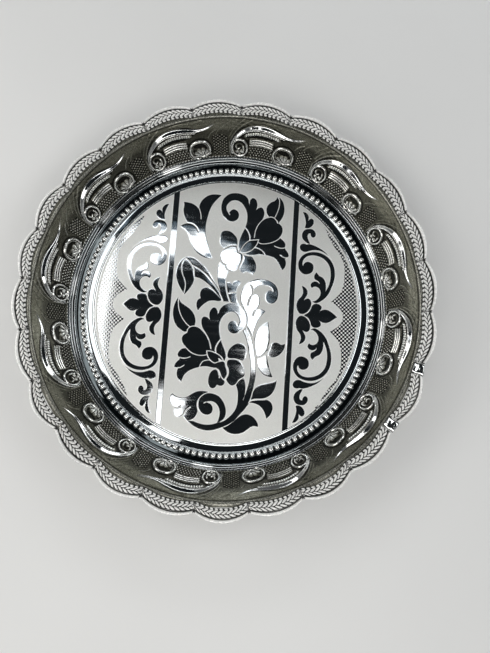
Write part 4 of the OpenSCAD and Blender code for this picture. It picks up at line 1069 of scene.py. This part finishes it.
def build_rim():
    V, A, Q, QM, T = [], [], [], [], []
    base = 0
    for i in range(23):
        a0 = -14.5 + 14.76 * i
        gap = 0.07
        sec, tarnish_shade_mask, nu = lobe_rows(a0 + gap, a0 + 14.76 - gap, 0.0, 1.0, LIFT[i], 100 + i)
        v, a, q, qm, t = skin_lobe(sec, tarnish_shade_mask, nu, base)
        V.append(v); A.append(a); Q.append(q); QM.append(qm); T.append(t)
        base += len(v)
    for deg, rr, rad in ((147.9, 128.9, 0.75), (192.3, 128.9, 0.7), (191.2, 128.4, 0.6), (206.9, 128.8, 0.7), (221.8, 129.0, 0.8), (251.3, 128.9, 0.75), (310.2, 128.6, 0.6)):
        c = (rr * math.cos(math.radians(deg)), rr * math.sin(math.radians(deg)), 38.4)
        v, f = nub(c, rad, base)
        V.append(v); A.append(np.full(len(v), 0.9)); Q.append(f); QM.append(np.zeros(len(f)))
        base += len(v)
    # bridges between neighbouring lobes, low in each notch, and painted dark as the shade in it
    for i in range(1, 23):
        a = math.radians(-14.5 + 14.76 * i)
        seg = 24
        us = np.linspace(0.03, 0.97, seg)
        rows = []
        for da, dz in ((-0.0035, 0.0), (-0.0020, 0.42), (0.0, 0.5), (0.0020, 0.42), (0.0035, 0.0)):
            r = STRIP_IN + STRIP_W * us
            z = STRIP_Z + 0.35 + dz * (0.8 + 0.2 * np.sin(us * 40 + i))
            rows.append(np.stack([r * math.cos(a + da), r * math.sin(a + da), z + 0 * r], 1))
        v = np.concatenate(rows)
        k, j = np.meshgrid(np.arange(4), np.arange(seg - 1), indexing="ij")
        b = (k * seg + j).ravel() + base
        Q.append(np.stack([b, b + 1, b + seg + 1, b + seg], 1)); QM.append(np.zeros(len(b)))
        V.append(v); A.append(np.full(len(v), 0.05))
        base += len(v)
    quads, tris = np.concatenate(Q), np.concatenate(T)
    ob = mesh_object("rim_lobes", np.concatenate(V), [quads, tris], {"tarnish_and_painted_shade": np.concatenate(A)}, (M_RIM, M_RIM_BACK),
                     np.concatenate([np.concatenate(QM), np.zeros(len(tris))]))
    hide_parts("rim_strip")
    sec, tarnish_shade_mask, nu = lobe_rows(328.25, 342.15, 0.04, 0.96, 0.95, 321)
    v, a, q, qm, t = skin_lobe(sec, tarnish_shade_mask, nu, 0)
    lobe = mesh_object("lobe_closing", v, [q, t], {"tarnish_and_painted_shade": a}, (M_RIM, M_RIM_BACK), np.concatenate([qm, np.zeros(len(t))]))
    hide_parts("closing_lobe")


def build_plate(name, node, a0, a1, w0, w1, seed):
    """Small hand-cut plate bridging an open joint, a little uneven and soldered down."""
    n, m = 30, 46
    g = np.random.default_rng(seed)
    s, u = np.meshgrid(np.linspace(0, 1, n), np.linspace(0, 1, m), indexing="ij")
    lo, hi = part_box(node)
    narrow = w0 + (w1 - w0) * s
    r = STRIP_IN + 0.4 + narrow * u
    a = np.radians(a0 + (a1 - a0) * (s + 0.03 * np.sin(u * 9 + seed)))
    side = np.minimum(np.minimum(s, 1 - s) * 6, np.minimum(u, 1 - u) * 14)
    edge = np.clip(side, 0, 1) ** 0.5
    z_top = STRIP_Z + 0.42 + 0.34 * edge + 0.55 * np.sin(math.pi * s) * (0.35 + 0.65 * np.abs(2 * u - 1)) + 0.5 * u + 0.05 * wob(r * np.cos(a) * 1.0, r * np.sin(a), 2.6, seed)
    top = np.stack([r * np.cos(a), r * np.sin(a), z_top], 2).reshape(-1, 3)
    bot = np.stack([r * np.cos(a), r * np.sin(a), STRIP_Z + 0.02 + 0.5 * u], 2).reshape(-1, 3)
    k, j = np.meshgrid(np.arange(n - 1), np.arange(m - 1), indexing="ij")
    q = (k * m + j).ravel()
    up = np.stack([q, q + 1, q + m + 1, q + m], 1)
    off = n * m
    dn = up[:, ::-1] + off
    loop = np.concatenate([np.arange(m), np.arange(1, n) * m + m - 1, (n - 1) * m + np.arange(m - 2, -1, -1), np.arange(n - 2, 0, -1) * m])
    nx = np.roll(loop, -1)
    side_f = np.stack([loop, loop + off, nx + off, nx], 1)
    # painted shade: the plate is dark along its edges
    tarnish_shade_mask = np.concatenate([smoothstep(0.05, 1.3, side).ravel(), np.full(off, 0.2)])
    faces = [np.concatenate([up, dn, side_f])]
    mi = np.concatenate([np.zeros(len(up)), np.ones(len(dn)), np.zeros(len(side_f))])
    ob = mesh_object(name, np.concatenate([top, bot]), faces, {"tarnish_and_painted_shade": tarnish_shade_mask}, (M_PLATE, M_RIM_BACK), mi)
    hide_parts(node)


build_pan()
build_beads()
build_wall()
build_rim()
build_plate("plate_first", "joint_plate_a", 325.1, 328.1, 7.2, 7.3, 51)
build_plate("plate_second", "joint_plate_b", 342.3, 345.4, 7.5, 6.3, 52)

for o in list(bpy.data.objects):
    if o.type == "MESH" and not o.get("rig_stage") and "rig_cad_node" not in o.keys() and o.parent is None:
        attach(o, "root")

# ------------------------------------------------------------------ stage, light and camera


def stage_floor():
    n = 60
    xs = np.linspace(-2600, 2600, n + 1)
    x, y = np.meshgrid(xs, xs, indexing="ij")
    v = np.stack([x.ravel(), y.ravel(), np.full(x.size, -0.15)], 1)
    k, j = np.meshgrid(np.arange(n), np.arange(n), indexing="ij")
    q = (k * (n + 1) + j).ravel()
    m = Nodes("stage_floor")
    cloud = m.noise(3.0, 3.0, 0.5)
    colour = m.mix(m.ramp(cloud, 0.3, 0.7), rgb(0.80, 0.80, 0.79), rgb(0.84, 0.84, 0.83))
    mat = m.finish(colour, m.ramp(cloud, 0.3, 0.7, 0.7, 0.85), m.bump(m.noise(500.0), 0.05, 0.0001), 0.0)
    px, py, _ = m.xyz()
    r = m.math("SQRT", m.math("ADD", m.math("MULTIPLY", px, px), m.math("MULTIPLY", py, py)))
    # painted light: from 0.8 m outward the floor glows, brightest past 2.1 m, to blend into the stage wall
    m.put(m.bsdf.inputs["Emission Color"], m.mix(m.ramp(r, 0.8, 2.1), rgb(0, 0, 0), rgb(0.30, 0.30, 0.295)))
    m.bsdf.inputs["Emission Strength"].default_value = 1.0
    ob = mesh_object("stage_floor", v, np.stack([q, q + n + 1, q + n + 2, q + 1], 1), None, (mat,))
    ob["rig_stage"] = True
    return ob


def area(name, at, to, sx, sy, radiance, colour=(1, 1, 1)):
    """A rectangular soft light whose face has the given radiance."""
    d = bpy.data.lights.new(name, "AREA")
    d.shape = "RECTANGLE"
    d.size, d.size_y = sx * MM, sy * MM
    d.color = colour
    d.energy = radiance * math.pi * (sx * MM) * (sy * MM)
    ob = bpy.data.objects.new(name, d)
    ob.location = Vector(at) * MM
    ob.rotation_mode = "QUATERNION"
    ob.rotation_quaternion = (Vector(to) - Vector(at)).to_track_quat("-Z", "Y")
    bpy.context.scene.collection.objects.link(ob)
    ob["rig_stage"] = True
    return ob


def flat_card(name, x0, x1, y0, y1, h, radiance, colour=(1, 1, 1)):
    """A level card overhead, seen in the polished parts of the floor."""
    cx, cy = (x0 + x1) / 2, (y0 + y1) / 2
    d = bpy.data.lights.new(name, "AREA")
    d.shape = "RECTANGLE"
    d.size, d.size_y = (x1 - x0) * MM, (y1 - y0) * MM
    d.color = colour
    d.energy = radiance * math.pi * d.size * d.size_y
    ob = bpy.data.objects.new(name, d)
    ob.location = Vector((cx, cy, h)) * MM
    bpy.context.scene.collection.objects.link(ob)
    ob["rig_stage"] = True
    return ob


def backdrop():
    """Plain wall round the table that glows as painted light, pale near the floor and darker towards the top."""
    K, prof = 96, [(2300, -0.1), (2400, 12), (2480, 60), (2520, 140), (2540, 300), (2545, 600), (2548, 1000), (2550, 1500), (2552, 2000), (2554, 2500)]
    th = np.arange(K) * TAU / K
    V = np.concatenate([np.stack([r * np.cos(th), r * np.sin(th), np.full(K, z)], 1) for r, z in prof])
    i = np.arange(K)
    nx = np.roll(i, -1)
    F = np.concatenate([np.stack([j * K + i, j * K + nx, (j + 1) * K + nx, (j + 1) * K + i], 1) for j in range(len(prof) - 1)])
    m = Nodes("stage_wall")
    cloud = m.noise(2.0, 3.0, 0.5)
    mat = m.finish(m.mix(m.ramp(cloud, 0.3, 0.7), rgb(0.32, 0.32, 0.317), rgb(0.35, 0.35, 0.347)), m.ramp(cloud, 0.3, 0.7, 0.8, 0.9),
                   m.bump(cloud, 0.02, 0.001), 0.0)
    z = m.xyz()[2]
    # painted light: the wall glows, pale low down and nearly dark above 1.9 m
    glow = m.mix(m.ramp(z, 0.0, 0.7), rgb(0.35, 0.35, 0.345), rgb(0.08, 0.082, 0.084))
    glow = m.mix(m.ramp(z, 0.55, 1.9), glow, rgb(0.022, 0.024, 0.026))
    m.put(m.bsdf.inputs["Emission Color"], glow)
    m.bsdf.inputs["Emission Strength"].default_value = 1.0
    ob = mesh_object("stage_wall", V, F[:, ::-1], None, (mat,))
    ob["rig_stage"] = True


stage_floor()
backdrop()
bpy.context.scene.view_settings.view_transform = "Standard"
world = bpy.data.worlds.new("studio")
bpy.context.scene.world = world
world.use_nodes = True
bg = world.node_tree.nodes["Background"]
bg.inputs[0].default_value = (0.72, 0.88, 1.0, 1.0)
bg.inputs[1].default_value = 0.012

# soft cards in a frame overhead, dark in the middle, with two weak side boxes
flat_card("soft_left", -720, -335, -210, 330, 520, 3.0, (1.0, 0.99, 0.97))
flat_card("soft_front", -270, 260, -560, -238, 520, 3.0, (1.0, 0.99, 0.97))
flat_card("soft_right", 300, 600, -160, 300, 520, 2.4, (0.98, 0.99, 1.0))
flat_card("soft_back", -320, 380, 560, 860, 520, 3.0, (0.97, 0.99, 1.0))
area("side_left", (-900, -500, 420), (0, 0, 0), 260, 420, 3.0, (1.0, 0.99, 0.97))
area("side_right", (900, 420, 420), (0, 0, 0), 260, 420, 3.0, (0.97, 0.99, 1.0))


def card_at(name, px0, px1, py0, py1, h, radiance, colour=(1, 1, 1)):
    """A card that shows in the floor over the given part of it, seen from the camera."""
    k = 338.0
    f = lambda p, c: (p * (k + h) - c * h) / k
    flat_card(name, f(px0, 18.5), f(px1, 18.5), f(py0, -52.4), f(py1, -52.4), h, radiance, colour)


card_at("card_scroll", -76, -50, 23, 54, 520, 1.6)
card_at("card_band", -50, -13, 37, 53, 520, 1.6)
card_at("card_petals", -13, 6, 22, 43, 520, 1.6)
card_at("card_fan", 8, 24, -12, 22, 520, 1.7)
card_at("card_stem", 14, 31, -44, -8, 520, 1.6)
card_at("card_low_left", -46, -26, -96, -59, 520, 1.5)
card_at("card_left", -99, -81, -68, 46, 520, 1.6)
for k, (x0, x1, y0, y1) in enumerate(((-80, -46, 18, 59), (-54, -9, 33, 58), (-16, 12, 17, 48), (4, 31, -14, 27))):
    card_at("card_glow%d" % k, x0, x1, y0, y1, 522 + 2 * k, 0.16, (0.62, 0.82, 1.0))

cam = bpy.data.cameras.new("camera")
cam.sensor_width = 36
cam.lens = 490 / 653 * 36
cam.clip_start, cam.clip_end = 0.01, 20
co = bpy.data.objects.new("camera", cam)
co.location = (0.0185, -0.0524, 0.3381)
co.rotation_euler = Euler((math.radians(6.97), math.radians(0.41), math.radians(3.7)), "XYZ")
bpy.context.scene.collection.objects.link(co)
bpy.context.scene.camera = co

bpy.context.view_layer.update()
